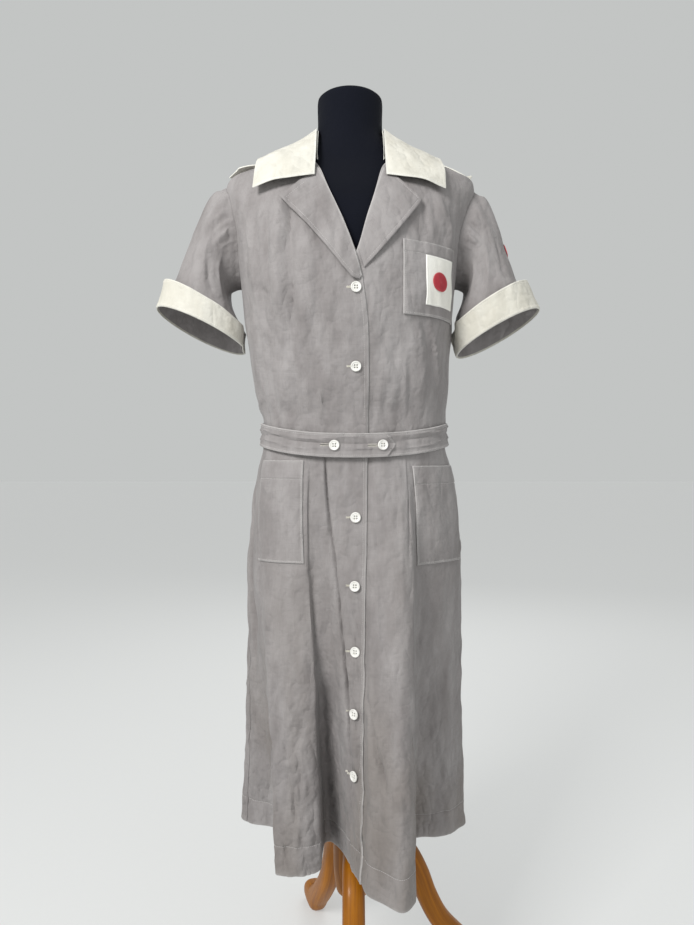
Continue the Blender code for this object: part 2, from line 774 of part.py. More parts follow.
def add_disc(name, place):
    """A round of red cloth whose points place(across, up, out) gives."""
    spokes = np.radians(np.arange(0.0, 360.0, 18.0))
    radii = np.array([0.35, 0.7, 1.0])[:, None] * DISC_RADIUS
    faces_out = []
    for out in (BADGE_THICK, 0.0):
        ring = place(radii * np.cos(spokes), radii * np.sin(spokes), out)
        middle = place(np.zeros(1), np.zeros(1), out)
        faces_out.append(np.concatenate([middle.reshape(-1, 3), ring.reshape(-1, 3)]))
    count = len(faces_out[0])
    turns = len(spokes)
    faces = []
    for j in range(turns):
        k = (j + 1) % turns
        faces += [(0, 1 + j, 1 + k), (count, count + 1 + k, count + 1 + j)]
        for i in range(len(radii) - 1):
            a, b = 1 + i * turns + j, 1 + i * turns + k
            c, d = b + turns, a + turns
            faces += [(a, d, c), (a, c, b)]
            faces += [(count + a, count + c, count + d), (count + a, count + b, count + c)]
        a, b = 1 + (len(radii) - 1) * turns + j, 1 + (len(radii) - 1) * turns + k
        faces += [(a, count + a, count + b), (a, count + b, b)]
    return new_object(name, np.concatenate(faces_out), faces, "red cloth")


# Skirt

def skirt(angle, share, out=0.0):
    """A place on the skirt: angle at the waist, share of the way down, out metres from its inner face."""
    step_angle, step_share = 0.15, 0.004
    here = skirt_base(angle, share)
    along = skirt_base(angle + step_angle, share) - skirt_base(angle - step_angle, share)
    below = skirt_base(angle, np.minimum(share + step_share, 1))
    down = below - skirt_base(angle, np.maximum(share - step_share, 0))
    return here + unit(np.cross(down, along)) * np.asarray(out)[..., None]


def skirt_base(angle, share):
    """A place on the inner face of the skirt's cloth."""
    angle, share = np.broadcast_arrays(np.asarray(angle, float), np.asarray(share, float))
    rows = [row._replace(angle=row.angle + turn) for turn in (-360.0, 0.0, 360.0) for row in SKIRT_FOLDS]
    table = np.array(rows)
    hem_x, hem_y, ease = (curve(table[:, 0], table[:, k], angle) for k in (1, 2, 3))
    top = waist_height(angle) - WAIST_GAP
    start = cast(BODY, angle, top)
    fallen = (np.maximum(share - BELTED, 0.0) / (1 - BELTED)) ** ease
    hip = curve(HIP_ROWS, HIP_SHARE, share)
    x = start[..., 0] + (hem_x - start[..., 0]) * fallen
    y = start[..., 1] + (hem_y - start[..., 1]) * fallen
    turn = np.radians(angle)
    x = x + HIP_SIDE * hip * np.sin(turn) * np.abs(np.sin(turn))
    y = y + HIP_BACK * hip * np.maximum(-np.cos(turn), 0.0)
    z = top + (HEM - top) * share
    return held_out(np.stack([x, y, z], axis=-1))


def held_out(points):
    """Cloth that would sink into the form lies clear of it instead."""
    over_form = ramp(points[..., 2], FORM[0].height - 0.10, FORM[0].height)
    return clear_of(FORM, FORM_CLEAR, points, over_form)


def fold_angles(first, last):
    """Columns from one angle to another: each fold line, and more between them where the hem is wide."""
    rows = [row._replace(angle=row.angle + turn) for turn in (-360.0, 0.0, 360.0) for row in SKIRT_FOLDS]
    lines = [first] + [row.angle for row in rows if first + 1.2 < row.angle < last - 1.2] + [last]
    columns = [first]
    for start, end in zip(lines, lines[1:]):
        a, b = skirt_base(start, 1.0), skirt_base(end, 1.0)
        spans = max(1, math.ceil(float(np.linalg.norm(b - a)) / FOLD_STEP))
        columns += [start + (end - start) * (k + 1) / spans for k in range(spans)]
    return np.array(columns)


def skirt_grid(angles, out):
    """Points down the skirt at these angles; out gives their distance from the inner face by angle."""
    angle, share = np.meshgrid(angles, np.array(SKIRT_ROWS))
    return skirt(angle, share, out(angle))


def under_lap(angle):
    """The wearer's left front runs beneath the right one."""
    return -(CLOTH + 2 * LAID_ON) * (1 - ramp(angle, OVERLAP_ANGLE, OVERLAP_ANGLE + 6.0))


def add_skirt():
    """Two fronts that lap down the middle, and the back."""
    right = fold_angles(-90.0 + SIDE_SEAM, OVERLAP_ANGLE)
    left = fold_angles(UNDERLAP_ANGLE, 90.0 - SIDE_SEAM)
    back = fold_angles(90.0 + SIDE_SEAM, 270.0 - SIDE_SEAM)
    for name, angles, lift in (("skirt_front_right", right, np.zeros_like),
                               ("skirt_front_left", left, under_lap),
                               ("skirt_back", back, np.zeros_like)):
        inner = skirt_grid(angles, lift)
        outer = skirt_grid(angles, lambda angle, lift=lift: lift(angle) + CLOTH)
        wall(name, outer, inner, "dress cloth")


def share_at(angle, height):
    """The share of the way down the skirt at a height."""
    top = waist_height(angle) - WAIST_GAP
    return (top - height) / (top - HEM)


def add_skirt_pockets():
    """A patch pocket on each front of the skirt, cut from its folds."""
    for pocket in SKIRT_POCKETS:
        across = fold_angles(pocket.inner, pocket.outer)
        finer = np.sort(np.concatenate([across, (across[1:] + across[:-1]) / 2]))
        angle, height = np.meshgrid(finer, np.linspace(pocket.low, pocket.top, 8))
        share = share_at(angle, height)
        out = CLOTH + SEWN_ON + 0 * angle
        wall(pocket.name, skirt(angle, share, out + CLOTH), skirt(angle, share, out), "dress cloth")


# Belt

BELT = Section(0.0, 0.1432, 0.1466, 0.1078, 0.0985)
BELT_START = -14.0
BELT_TIP = 381.3
BELT_POINT = 5.0
BELT_OVER = 0.0023


def belt(turn, share, out):
    """A place on the belt: its turn about the waist, its share of the height, and out metres outward."""
    turn, share = np.broadcast_arrays(np.asarray(turn, float), np.asarray(share, float))
    angle = np.radians(turn)
    over = BELT_OVER * ramp(turn, 300.0, 340.0)
    side_x = np.where(np.sin(angle) < 0, BELT.right, BELT.left)
    side_y = np.where(np.cos(angle) > 0, BELT.front, BELT.back)
    power = 2 / SQUARENESS
    x = (side_x + over + out) * np.sign(np.sin(angle)) * np.abs(np.sin(angle)) ** power
    y = -(side_y + over + out) * np.sign(np.cos(angle)) * np.abs(np.cos(angle)) ** power
    z = waist_height(turn) + 0.001 + share * BELT_HEIGHT
    return np.stack([x, y, z], axis=-1)


def add_belt():
    """One strip once round the waist that ends in a point over its own start."""
    body = np.concatenate([np.arange(BELT_START, 30.0, 6.5), np.arange(30.0, 330.0, 10.0),
                           np.arange(330.0, BELT_TIP - BELT_POINT, 6.5)])
    turns = np.concatenate([body, [BELT_TIP - BELT_POINT, BELT_TIP]])
    halves = np.where(turns > BELT_TIP - BELT_POINT / 2, 0.03, 0.5)
    turn, share = np.meshgrid(turns, np.array([-1.0, 0.0, 1.0]))
    share = share * halves
    wall("belt", belt(turn, share, DOUBLED), belt(turn, share, 0.0), "dress cloth")


# Sleeves and cuffs

def ring_points(sleeve, ring, turn):
    """The oval at the sleeve's end; turn 0 is its outer, higher side and 90 its front."""
    tilt = math.radians(ring.tilt)
    dip = math.radians(CUFF_FACES_FRONT)
    outer = np.array([sleeve.side * math.cos(tilt), 0.0, math.sin(tilt)])
    front = np.array([0.0, -math.cos(dip), math.sin(dip)])
    turn = np.radians(turn)[..., None]
    middle = np.array([ring.x, ring.y, ring.z])
    return middle + outer * ring.half_width * np.cos(turn) + front * ring.half_depth * np.sin(turn)


def armhole_corner(sleeve, corner):
    """A corner of the bodice's armhole edge, the body's outward direction, and the way into the hole."""
    spots = []
    for number in (corner - 1, corner, corner + 1):
        spots.append(bodice(*armhole(sleeve.side, number * 180.0 / ARMHOLE_SPANS)))
    before, here, after = spots
    normal = outward(BODY, cast(BODY, *armhole(sleeve.side, corner * 180.0 / ARMHOLE_SPANS)))
    return here, normal, unit(np.cross(after - before, normal)) * -sleeve.side


def armhole_frame(sleeve, turn):
    """Places on the straight spans of the bodice's armhole edge, with the outward and inward ways there."""
    span = np.mod(turn, 360.0) * ARMHOLE_SPANS / 180.0
    first = np.floor(span)
    share = (span - first)[..., None]
    start = armhole_corner(sleeve, first)
    end = armhole_corner(sleeve, first + 1)
    here, normal, away = (a + (b - a) * share for a, b in zip(start, end))
    return here, unit(normal), unit(away)


def sleeve_base(sleeve, turn, share):
    """A place on the sleeve: share 0 at the armhole, 1 at the cuff's top and 2 at the cuff's lower edge."""
    turn, share = np.broadcast_arrays(np.asarray(turn, float), np.asarray(share, float))
    here, normal, away = armhole_frame(sleeve, turn)
    start = here + away * SLEEVE_SEAM
    end = ring_points(sleeve, sleeve.cuff_top, turn)
    last = ring_points(sleeve, sleeve.cuff_low, turn)
    length = np.linalg.norm(end - start, axis=-1, keepdims=True)
    on_top = (0.5 + 0.5 * np.cos(np.radians(turn)))[..., None]
    leave = normal * (PUFF + 0.25 * length * (1 - on_top)) + away * length * (0.25 + 0.45 * on_top)
    arrive = unit(last - end) * length * 0.9
    t = np.clip(share, 0, 1)[..., None]
    past = np.clip(share - 1, 0, None)[..., None]
    body = start * (1 + 2 * t) * (1 - t) ** 2 + end * t * t * (3 - 2 * t)
    body = body + leave * t * (1 - t) ** 2 - arrive * t * t * (1 - t)
    return beside_body(body + (last - end) * past, share)


def beside_body(points, share):
    """The sleeve hangs against the side of the bodice and never sinks into it."""
    near = clear_of(BODY, 0.0035, points, ramp(share, 0.0, 0.20))
    return clear_of(BODY, 0.0140, near, ramp(share, 0.45, 0.95))


def gather_height(turn, share):
    """Gathers over the sleeve head that die away down the sleeve."""
    head = HEAD_SPANS * 180.0 / ARMHOLE_SPANS
    angle = np.mod(turn + 180.0, 360.0) - 180.0
    on_head = np.abs(angle) < head
    wave = 0.5 - 0.5 * np.cos(np.radians(angle + head) * GATHERS * 180.0 / head)
    return GATHER_HEIGHT * on_head * wave * ramp(share, 0.0, 0.08) * (1 - ramp(share, 0.10, 0.60))


def sleeve_point(sleeve, turn, share, out=0.0):
    """A place on the sleeve, out metres from its inner face."""
    turn, share = np.broadcast_arrays(np.asarray(turn, float), np.asarray(share, float))
    here = sleeve_base(sleeve, turn, share)
    around = sleeve_base(sleeve, turn + 5.0, share) - sleeve_base(sleeve, turn - 5.0, share)
    down = sleeve_base(sleeve, turn, share + 0.01) - sleeve_base(sleeve, turn, np.maximum(share - 0.01, 0))
    normal = unit(np.cross(around, down)) * sleeve.side
    _, at_armhole, _ = armhole_frame(sleeve, turn)
    normal = unit(at_armhole + (normal - at_armhole) * ramp(share, 0.0, 0.16)[..., None])
    return here + normal * (gather_height(turn, share) + out)[..., None]


def sleeve_turns():
    """Columns round the sleeve from the top: every corner of the armhole, and more over the gathered head."""
    span = 180.0 / ARMHOLE_SPANS
    head = np.arange(-HEAD_SPANS * span, HEAD_SPANS * span - 1e-6, span / 3)
    under = np.arange(HEAD_SPANS * span, (2 * ARMHOLE_SPANS - HEAD_SPANS) * span - 1e-6, span / 2)
    return np.concatenate([head, under])


def add_sleeves():
    """Each short sleeve and the white cuff turned back over its end."""
    for sleeve in SLEEVES:
        turn, share = np.meshgrid(sleeve_turns(), np.array(SLEEVE_ROWS + (CUFF_COVERS_TO,)))
        wall(f"sleeve_{sleeve.name}", sleeve_point(sleeve, turn, share, CLOTH + 0 * turn),
             sleeve_point(sleeve, turn, share, 0 * turn), "dress cloth", ring=True)
        turn, share = np.meshgrid(np.arange(0.0, 360.0, 12.0), np.array([1.0, 1.5, 2.0]))
        flare = CUFF_FLARE + CUFF_FLARE_OUTSIDE * np.cos(np.radians(turn))
        stand_off = CLOTH + SEWN_ON + flare * np.clip(2.0 - share, 0, 1)
        wall(f"cuff_{sleeve.name}", sleeve_point(sleeve, turn, share, stand_off + DOUBLED),
             sleeve_point(sleeve, turn, share, stand_off), "white cloth", ring=True)


def add_sleeve_badge():
    """A plain round badge on the outer side of the wearer's left sleeve."""
    sleeve = SLEEVES[1]

    def place(across, up, out):
        turn = BADGE_TURN + np.degrees(across / SLEEVE_RADIUS)
        return sleeve_point(sleeve, turn, BADGE_SHARE - up / SLEEVE_LENGTH, CLOTH + SEWN_ON + out + 0 * turn)

    add_disc("sleeve_disc", place)


# Collar and shoulder straps

def collar_grid(out):
    """The fall of the collar from one front point round the neck to the other."""
    table = np.array([[row.roll, row.middle, row.edge] for row in COLLAR])
    stations = np.linspace(0, len(COLLAR) - 1, 13)
    lines = np.stack([[curve(np.arange(len(COLLAR)), table[:, i, k], stations) for k in range(3)]
                      for i in range(3)])
    roll, middle, edge = (np.moveaxis(line, 0, -1) for line in lines)
    control = middle * 2 - (roll + edge) / 2
    q = np.linspace(0, 1, 6)[:, None, None]
    left = roll * (1 - q) ** 2 + control * 2 * q * (1 - q) + edge * q * q
    right = left * np.array([-COLLAR_RIGHT_STRETCH, 1.0, 1.0])
    sheet = np.concatenate([right, left[:, -2::-1]], axis=1)
    sheet = sheet + [COLLAR_SHIFT, 0.0, 0.0]
    across = np.gradient(sheet, axis=1)
    down = np.gradient(sheet, axis=0)
    return sheet + unit(np.cross(down, across)) * out


def add_collar():
    """The fall lies over the shoulders; the stand joins its roll to the neckline behind its front ends."""
    fall = collar_grid(0.0)
    wall("collar_fall", collar_grid(DOUBLED), fall, "white cloth")
    roll = fall[0, 1:-1]
    angle = np.degrees(np.arctan2(roll[:, 0], -roll[:, 1]))
    neckline = chart(roll[:, 0], np.minimum(roll[:, 2], 1.30))[1]
    along = np.abs(np.linspace(-1, 1, len(roll)))
    climb = neckline + (NECK_CLIMB - neckline) * ramp(1 - along, 0.0, 0.35)
    low = bodice(angle, climb, CLOTH + SEAM + 0 * climb)
    inward = unit(roll * [1, 1, 0])
    top = roll - inward * (CLOTH + 0.0016) - [0, 0, 0.0015]
    heights = np.array([0.06, 0.5, 1.0])[:, None, None]
    inner = clear_of(FORM, 0.0012, low + (top - low) * heights, 1.0)
    wall("collar_stand", inner + inward * CLOTH, inner, "white cloth")


class Strap(NamedTuple):
    """A shoulder strap: where it starts and ends across, its free end's height, twist and slant."""

    name: str
    side: int
    start: float
    end: float
    end_height: float
    front_drop: float
    skew: float


STRAPS = (
    Strap("epaulette_right", WEARERS_RIGHT, 0.1440, 0.1920, 1.3080, 0.000, 0.0075),
    Strap("epaulette_left", WEARERS_LEFT, 0.1320, 0.1880, 1.3010, 0.018, 0.0040),
)
STRAP_HALF = 0.020
STRAP_ARCH = 0.002
STRAP_TIP = 0.6
STRAP_LIFT = 0.0011


def shoulder_height(x):
    """The height of the shoulder's ridge at x."""
    heights = np.linspace(1.28, 1.35, 300)
    ridge = reach(BODY, np.stack([0 * heights + x, 0 * heights, heights], axis=-1))
    return float(np.interp(1.0, ridge, heights))


def add_straps():
    for strap in STRAPS:
        across, along = np.meshgrid(np.linspace(-1, 1, 4), np.linspace(0, 1, 7))
        tip = np.where(along > 0.99, STRAP_TIP, 1.0)
        start = shoulder_height(strap.side * strap.start) + CLOTH + STRAP_LIFT
        height = start + (strap.end_height - start) * along + STRAP_ARCH * np.sin(np.pi * along)
        height = height + strap.front_drop * 0.5 * across * along
        x = strap.side * (strap.start + (strap.end - strap.start + strap.skew * across) * along)
        sheet = np.stack([x, STRAP_HALF * across * tip, height], axis=-1)
        upward = np.array([0.0, 0.0, DOUBLED])
        wall(strap.name, sheet + upward, sheet, "white cloth")


# Buttons

BUTTON_DISH = 0.0009
BUTTON_RINGS = (
    Ring(0.0, BUTTON_RADIUS * 0.79),
    Ring(BUTTON_THICK * 0.47, BUTTON_RADIUS),
    Ring(BUTTON_THICK, BUTTON_RADIUS * 0.93),
    Ring(BUTTON_THICK, BUTTON_RADIUS * 0.78),
    Ring(BUTTON_THICK - BUTTON_DISH, BUTTON_RADIUS * 0.66),
)
BUTTON_TURNS = 14


def button_mesh():
    """A dished button with a raised rim, turned about its axis."""
    shape = bmesh.new()
    low = shape.verts.new((0, 0, 0))
    top = shape.verts.new((0, 0, BUTTON_THICK - BUTTON_DISH))
    rings = []
    for height, radius in BUTTON_RINGS:
        ring = []
        for k in range(BUTTON_TURNS):
            turn = 2 * math.pi * k / BUTTON_TURNS
            ring.append(shape.verts.new((radius * math.cos(turn), radius * math.sin(turn), height)))
        rings.append(ring)
    for k in range(BUTTON_TURNS):
        n = (k + 1) % BUTTON_TURNS
        shape.faces.new((low, rings[0][n], rings[0][k]))
        shape.faces.new((top, rings[-1][k], rings[-1][n]))
        for a, b in zip(rings, rings[1:]):
            shape.faces.new((a[k], a[n], b[n], b[k]))
    bmesh.ops.recalc_face_normals(shape, faces=shape.faces)
    mesh = bpy.data.meshes.new("button")
    shape.to_mesh(mesh)
    shape.free()
    mesh.shade_smooth()
    mesh.set_sharp_from_angle(angle=math.radians(40))
    mesh.materials.append(materials["white button"])
    return mesh


def place_button(name, mesh, at, toward):
    """A button laid on the cloth at a place, its axis along the outward direction there."""
    made = bpy.data.objects.new(name, mesh)
    bpy.context.scene.collection.objects.link(made)
    made.parent = form_axis
    spin = Vector((0, 0, 1)).rotation_difference(Vector(toward)).to_matrix().to_4x4()
    made.matrix_local = Matrix.Translation(Vector(at)) @ spin


def add_buttons():
    """Seven buttons down the front and two on the belt."""
    mesh = button_mesh()
    number = 0
    for height in BODICE_BUTTONS:
        number += 1
        at = front_piece(np.array(BUTTON_X), np.array(height), BODICE_BUTTON_LIFT, WEARERS_RIGHT)
        toward = outward(BODY, cast(BODY, *chart(BUTTON_X, height)))
        place_button(f"button_{number}", mesh, at, toward)
    for height, lift in SKIRT_BUTTONS:
        number += 1
        angle = skirt_angle_at(BUTTON_X, height)
        share = share_at(angle, height)
        at = skirt(np.array(angle), np.array(share), np.array(CLOTH + lift))
        toward = skirt(np.array(angle), np.array(share), np.array(1.0)) - skirt_base(angle, share)
        place_button(f"button_{number}", mesh, at, toward)
    for k, x in enumerate(BELT_BUTTONS):
        share = abs(x) / (BELT.left if x > 0 else BELT.right)
        turn = 360.0 + math.copysign(math.degrees(math.asin(share ** (SQUARENESS / 2))), x)
        at = belt(turn, 0.0, DOUBLED + BELT_BUTTON_LIFT)
        toward = unit(at * [1 / BELT.left**2, 1 / BELT.front**2, 0])
        place_button(f"belt_button_{k + 1}", mesh, at, toward)


def skirt_angle_at(x, height):
    """The waist angle of the line that passes x at a height near the front edge."""
    angles = np.linspace(-16.0, OVERLAP_ANGLE, 200)
    across = skirt_base(angles, share_at(angles, height))[..., 0]
    return float(np.interp(x, across, angles))


# Form and stand

def add_form():
    """The padded torso and neck, one body with a flat base and a flat top."""
    turns = np.arange(0.0, 360.0, 11.25)
    rings = [cast(FORM, turns, climb) for climb in FORM_CLIMBS]
    angle = np.radians(turns)
    for height, radius in NECK_RINGS:
        rings.append(np.stack([NECK_X + radius * np.sin(angle), -radius * np.cos(angle), 0 * angle + height],
                              axis=-1))
    solid_of_rings("form_body", rings, "black jersey")


def solid_of_rings(name, rings, finish):
    """A solid through closed rings of points, with flat ends."""
    count = len(rings[0])
    points = np.concatenate(rings)
    faces = [tuple(range(count)), tuple(range((len(rings) - 1) * count, len(rings) * count))]
    for i in range(len(rings) - 1):
        for j in range(count):
            k = (j + 1) % count
            a, b, c, d = i * count + j, i * count + k, (i + 1) * count + k, (i + 1) * count + j
            faces += [(a, b, c), (a, c, d)]
    return new_object(name, points, faces, finish)


def circle(radius, height, count):
    """A level ring of points about the form's axis."""
    turn = np.radians(np.arange(count) * 360.0 / count)
    return np.stack([radius * np.cos(turn), radius * np.sin(turn), 0 * turn + height], axis=-1)


def add_stand():
    """A turned hub and pole under the torso, and three curved legs."""
    solid_of_rings("stand_hub", [circle(radius, height, 24) for height, radius in HUB_RINGS], "orange wood")
    low = HUB_RINGS[-1].height + SEAM
    top = FORM[0].height - SEAM
    solid_of_rings("stand_pole", [circle(POLE_RADIUS, low, 20), circle(POLE_RADIUS, top, 20)], "steel")
    for name, degrees in LEG_ANGLES.items():
        leg = solid_of_rings(name, leg_rings(), "orange wood")
        leg.rotation_euler[2] = math.radians(degrees)


def leg_rings():
    """Rounded square rings along the leg's middle line, level and flat where the foot stands."""
    table = np.array(LEG)
    middle = np.arange(len(LEG))
    at = np.linspace(0, len(LEG) - 1, LEG_RINGS)
    reach_out, height, half = (curve(middle, table[:, k], at) for k in range(3))
    slope_r, slope_z = np.gradient(reach_out), np.gradient(height)
    corners = 2 * np.pi * (np.arange(LEG_CORNERS) + 0.5) / LEG_CORNERS
    rings = []
    for k in range(len(at)):
        along = unit(np.array([slope_r[k], 0.0, slope_z[k]]))
        if k == 0:
            along = np.array([1.0, 0.0, 0.0])
        up = np.array([-along[2], 0.0, along[0]])
        wide = np.sign(np.cos(corners)) * np.abs(np.cos(corners)) ** 0.7
        high = np.sign(np.sin(corners)) * np.abs(np.sin(corners)) ** 0.7
        ring = np.array([reach_out[k], 0.0, height[k]]) + high[:, None] * half[k] * up
        ring = ring + wide[:, None] * np.array([0.0, min(LEG_HALF_WIDTH, half[k]), 0.0])
        ring[:, 2] = np.maximum(ring[:, 2], 0.0)
        rings.append(ring)
    return rings


def make_materials():
    """One material for each finish."""
    made = {}
    for name, (colour, roughness, metallic) in FINISHES.items():
        material = bpy.data.materials.new(name)
        material.use_nodes = True
        shader = material.node_tree.nodes["Principled BSDF"]
        shader.inputs["Base Color"].default_value = colour
        shader.inputs["Roughness"].default_value = roughness
        shader.inputs["Metallic"].default_value = metallic
        material.diffuse_color = colour
        made[name] = material
    return made


for leftover in list(bpy.data.objects):
    bpy.data.objects.remove(leftover, do_unlink=True)

materials = make_materials()
form_axis = bpy.data.objects.new("form_axis", None)
form_axis.location = FORM_AXIS
bpy.context.scene.collection.objects.link(form_axis)

add_form()
add_stand()
add_bodice()
add_lapels()
add_chest_pocket()
add_skirt()
add_skirt_pockets()
add_belt()
add_sleeves()
add_sleeve_badge()
add_collar()
add_straps()
add_buttons()
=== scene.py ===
"""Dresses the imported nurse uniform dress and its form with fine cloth, sewing, wood and steel.

Metres, +Z up. The front faces -Y and the wearer's left side is +X, as in the frame. The form's own axis
stands FORM_AXIS from the origin, and all sizes below are about it. Each sub-assembly is a class that works
its meshes out from its own sizes and the body's charts, as finer forms of the solids that they stand for.
"""

import logging
import math
from collections.abc import Callable
from dataclasses import dataclass, field
from enum import Enum
from typing import NamedTuple

import bmesh
import bpy
import numpy as np
from mathutils import Matrix, Vector

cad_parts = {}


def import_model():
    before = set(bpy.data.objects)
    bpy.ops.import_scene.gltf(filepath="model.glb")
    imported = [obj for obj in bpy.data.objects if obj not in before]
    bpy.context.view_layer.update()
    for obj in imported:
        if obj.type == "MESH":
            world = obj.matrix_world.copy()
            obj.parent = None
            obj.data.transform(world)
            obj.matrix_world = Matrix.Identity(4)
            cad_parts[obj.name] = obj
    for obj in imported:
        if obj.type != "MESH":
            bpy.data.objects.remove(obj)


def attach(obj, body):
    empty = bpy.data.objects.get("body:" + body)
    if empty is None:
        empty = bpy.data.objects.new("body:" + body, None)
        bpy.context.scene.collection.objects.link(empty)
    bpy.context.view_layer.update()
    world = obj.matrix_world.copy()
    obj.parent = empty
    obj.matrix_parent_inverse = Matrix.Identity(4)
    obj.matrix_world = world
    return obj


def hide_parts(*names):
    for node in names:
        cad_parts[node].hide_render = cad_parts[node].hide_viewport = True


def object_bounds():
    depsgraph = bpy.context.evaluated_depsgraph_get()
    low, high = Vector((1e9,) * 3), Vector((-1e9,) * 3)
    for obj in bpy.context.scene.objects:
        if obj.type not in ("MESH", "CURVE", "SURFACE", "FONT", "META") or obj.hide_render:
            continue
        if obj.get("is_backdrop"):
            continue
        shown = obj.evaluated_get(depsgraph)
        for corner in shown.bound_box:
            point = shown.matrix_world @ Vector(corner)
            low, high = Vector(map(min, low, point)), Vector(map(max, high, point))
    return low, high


LOG = logging.getLogger("dress")
Array = np.ndarray
Surface = Callable[[Array, Array, Array], Array]
Colour = tuple[float, float, float, float]

BODY_NAME = "root"
FORM_AXIS = np.array([0.008, 0.0042, 0.0])

CLOTH = 0.0012
DOUBLED = 0.0018
SEAM = 0.0003
LAID_ON = 0.0005
SEWN_ON = 0.0009
WAIST_GAP = 0.0004
BADGE_THICK = 0.0010
PATCH_STITCH = 0.0030
# How far the lightened edges reach: rubbing and a painted highlight along the turned edges.
WEAR_AND_HIGHLIGHT_REACH = 0.0016

CHEST = 1.14
ARC = 0.16
SQUARENESS = 2.2
WAIST = 0.894
WAIST_SAG = 0.0205
HEM = 0.262
UNDERARM = 1.125
NECK_CLIMB = 1.3405
SHOULDER_CLIMB = 1.243
OVERLAP_EDGE = 0.0215
UNDERLAP_EDGE = -0.018
OVERLAP_LIFT = 0.0018
BUTTON_X = 0.003


class Side(Enum):
    """A side of the wearer."""

    RIGHT = -1
    LEFT = 1


class Slot(Enum):
    """Names of material slots."""

    DRESS = "dress_cloth"
    WHITE = "white_cloth"
    RED = "red_cloth"
    BUTTON = "button"
    JERSEY = "jersey"
    WOOD = "wood"
    STEEL = "steel"


def rows_of(kind: type, *rows: tuple) -> tuple:
    """A table whose rows are all of one kind, with that kind's named columns."""
    return tuple(kind(*row) for row in rows)


class Section(NamedTuple):
    """Half widths and half depths about the form's axis at one height."""

    height: float
    right: float
    left: float
    front: float
    back: float


BODY = rows_of(
    Section,
    (0.78, 0.145, 0.147, 0.106, 0.1), (0.87, 0.1405, 0.1438, 0.1035, 0.0955),
    (0.914, 0.1407, 0.144, 0.104, 0.0957), (0.96, 0.153, 0.149, 0.114, 0.1005),
    (1.02, 0.162, 0.151, 0.124, 0.106), (1.08, 0.17, 0.155, 0.134, 0.112),
    (1.13, 0.176, 0.16, 0.136, 0.117), (1.19, 0.185, 0.168, 0.126, 0.121),
    (1.24, 0.196, 0.182, 0.108, 0.118), (1.27, 0.201, 0.191, 0.093, 0.107),
    (1.288, 0.198, 0.189, 0.081, 0.096), (1.303, 0.168, 0.16, 0.072, 0.085),
    (1.32, 0.125, 0.119, 0.064, 0.075), (1.335, 0.09, 0.084, 0.059, 0.067),
    (1.348, 0.067, 0.059, 0.056, 0.061), (1.372, 0.059, 0.05, 0.054, 0.056),
)
FORM = rows_of(
    Section,
    (0.6, 0.148, 0.148, 0.086, 0.104), (0.66, 0.154, 0.154, 0.088, 0.112),
    (0.74, 0.153, 0.153, 0.088, 0.112), (0.82, 0.14, 0.14, 0.088, 0.096),
    (0.89, 0.124, 0.125, 0.084, 0.082), (0.96, 0.134, 0.131, 0.096, 0.088),
    (1.04, 0.15, 0.141, 0.113, 0.098), (1.11, 0.159, 0.147, 0.124, 0.107),
    (1.18, 0.166, 0.153, 0.116, 0.113), (1.236, 0.174, 0.164, 0.101, 0.112),
    (1.266, 0.177, 0.17, 0.0875, 0.1015), (1.285, 0.173, 0.165, 0.0765, 0.0915),
    (1.3, 0.161, 0.153, 0.069, 0.0815), (1.317, 0.119, 0.113, 0.061, 0.072),
    (1.332, 0.084, 0.078, 0.056, 0.0635), (1.346, 0.0595, 0.0515, 0.0515, 0.056),
    (1.372, 0.056, 0.0465, 0.0515, 0.053),
)


class ArmholeRow(NamedTuple):
    """A place on the armhole: its turn about the arm, its climb, and its angle round from the front."""

    turn: float
    climb: float
    angle: float


ARMHOLE = rows_of(
    ArmholeRow,
    (0, SHOULDER_CLIMB, 90), (40, 1.228, 79), (90, 1.19, 75), (140, 1.148, 80), (180, UNDERARM, 90),
    (220, 1.148, 101), (270, 1.19, 107), (320, 1.228, 102), (360, SHOULDER_CLIMB, 90),
)


class FrontEdge(NamedTuple):
    """A place up a front's inner edge: the share of the way from waist to shoulder, and its x and z."""

    share: float
    x: float
    z: float


OVERLAP_FRONT = rows_of(
    FrontEdge,
    (0.0, OVERLAP_EDGE, 0.874), (0.21, OVERLAP_EDGE, 0.97), (0.36, 0.0205, 1.04), (0.44, 0.0165, 1.08),
    (0.51, 0.0105, 1.116), (0.57, 0.0012, 1.15), (0.67, -0.022, 1.213), (0.775, -0.0525, 1.29),
)
UNDERLAP_FRONT = rows_of(
    FrontEdge,
    (0.0, UNDERLAP_EDGE, 0.874), (0.21, UNDERLAP_EDGE, 0.97), (0.36, UNDERLAP_EDGE, 1.04),
    (0.44, -0.015, 1.08), (0.51, -0.007, 1.116), (0.57, 0.0048, 1.15), (0.67, 0.0225, 1.213),
    (0.775, 0.044, 1.29),
)


class Crease(NamedTuple):
    """A soft ridge, or trough where its height is negative, between two places on a piece's chart."""

    from_a: float
    from_b: float
    to_a: float
    to_b: float
    width: float
    height: float


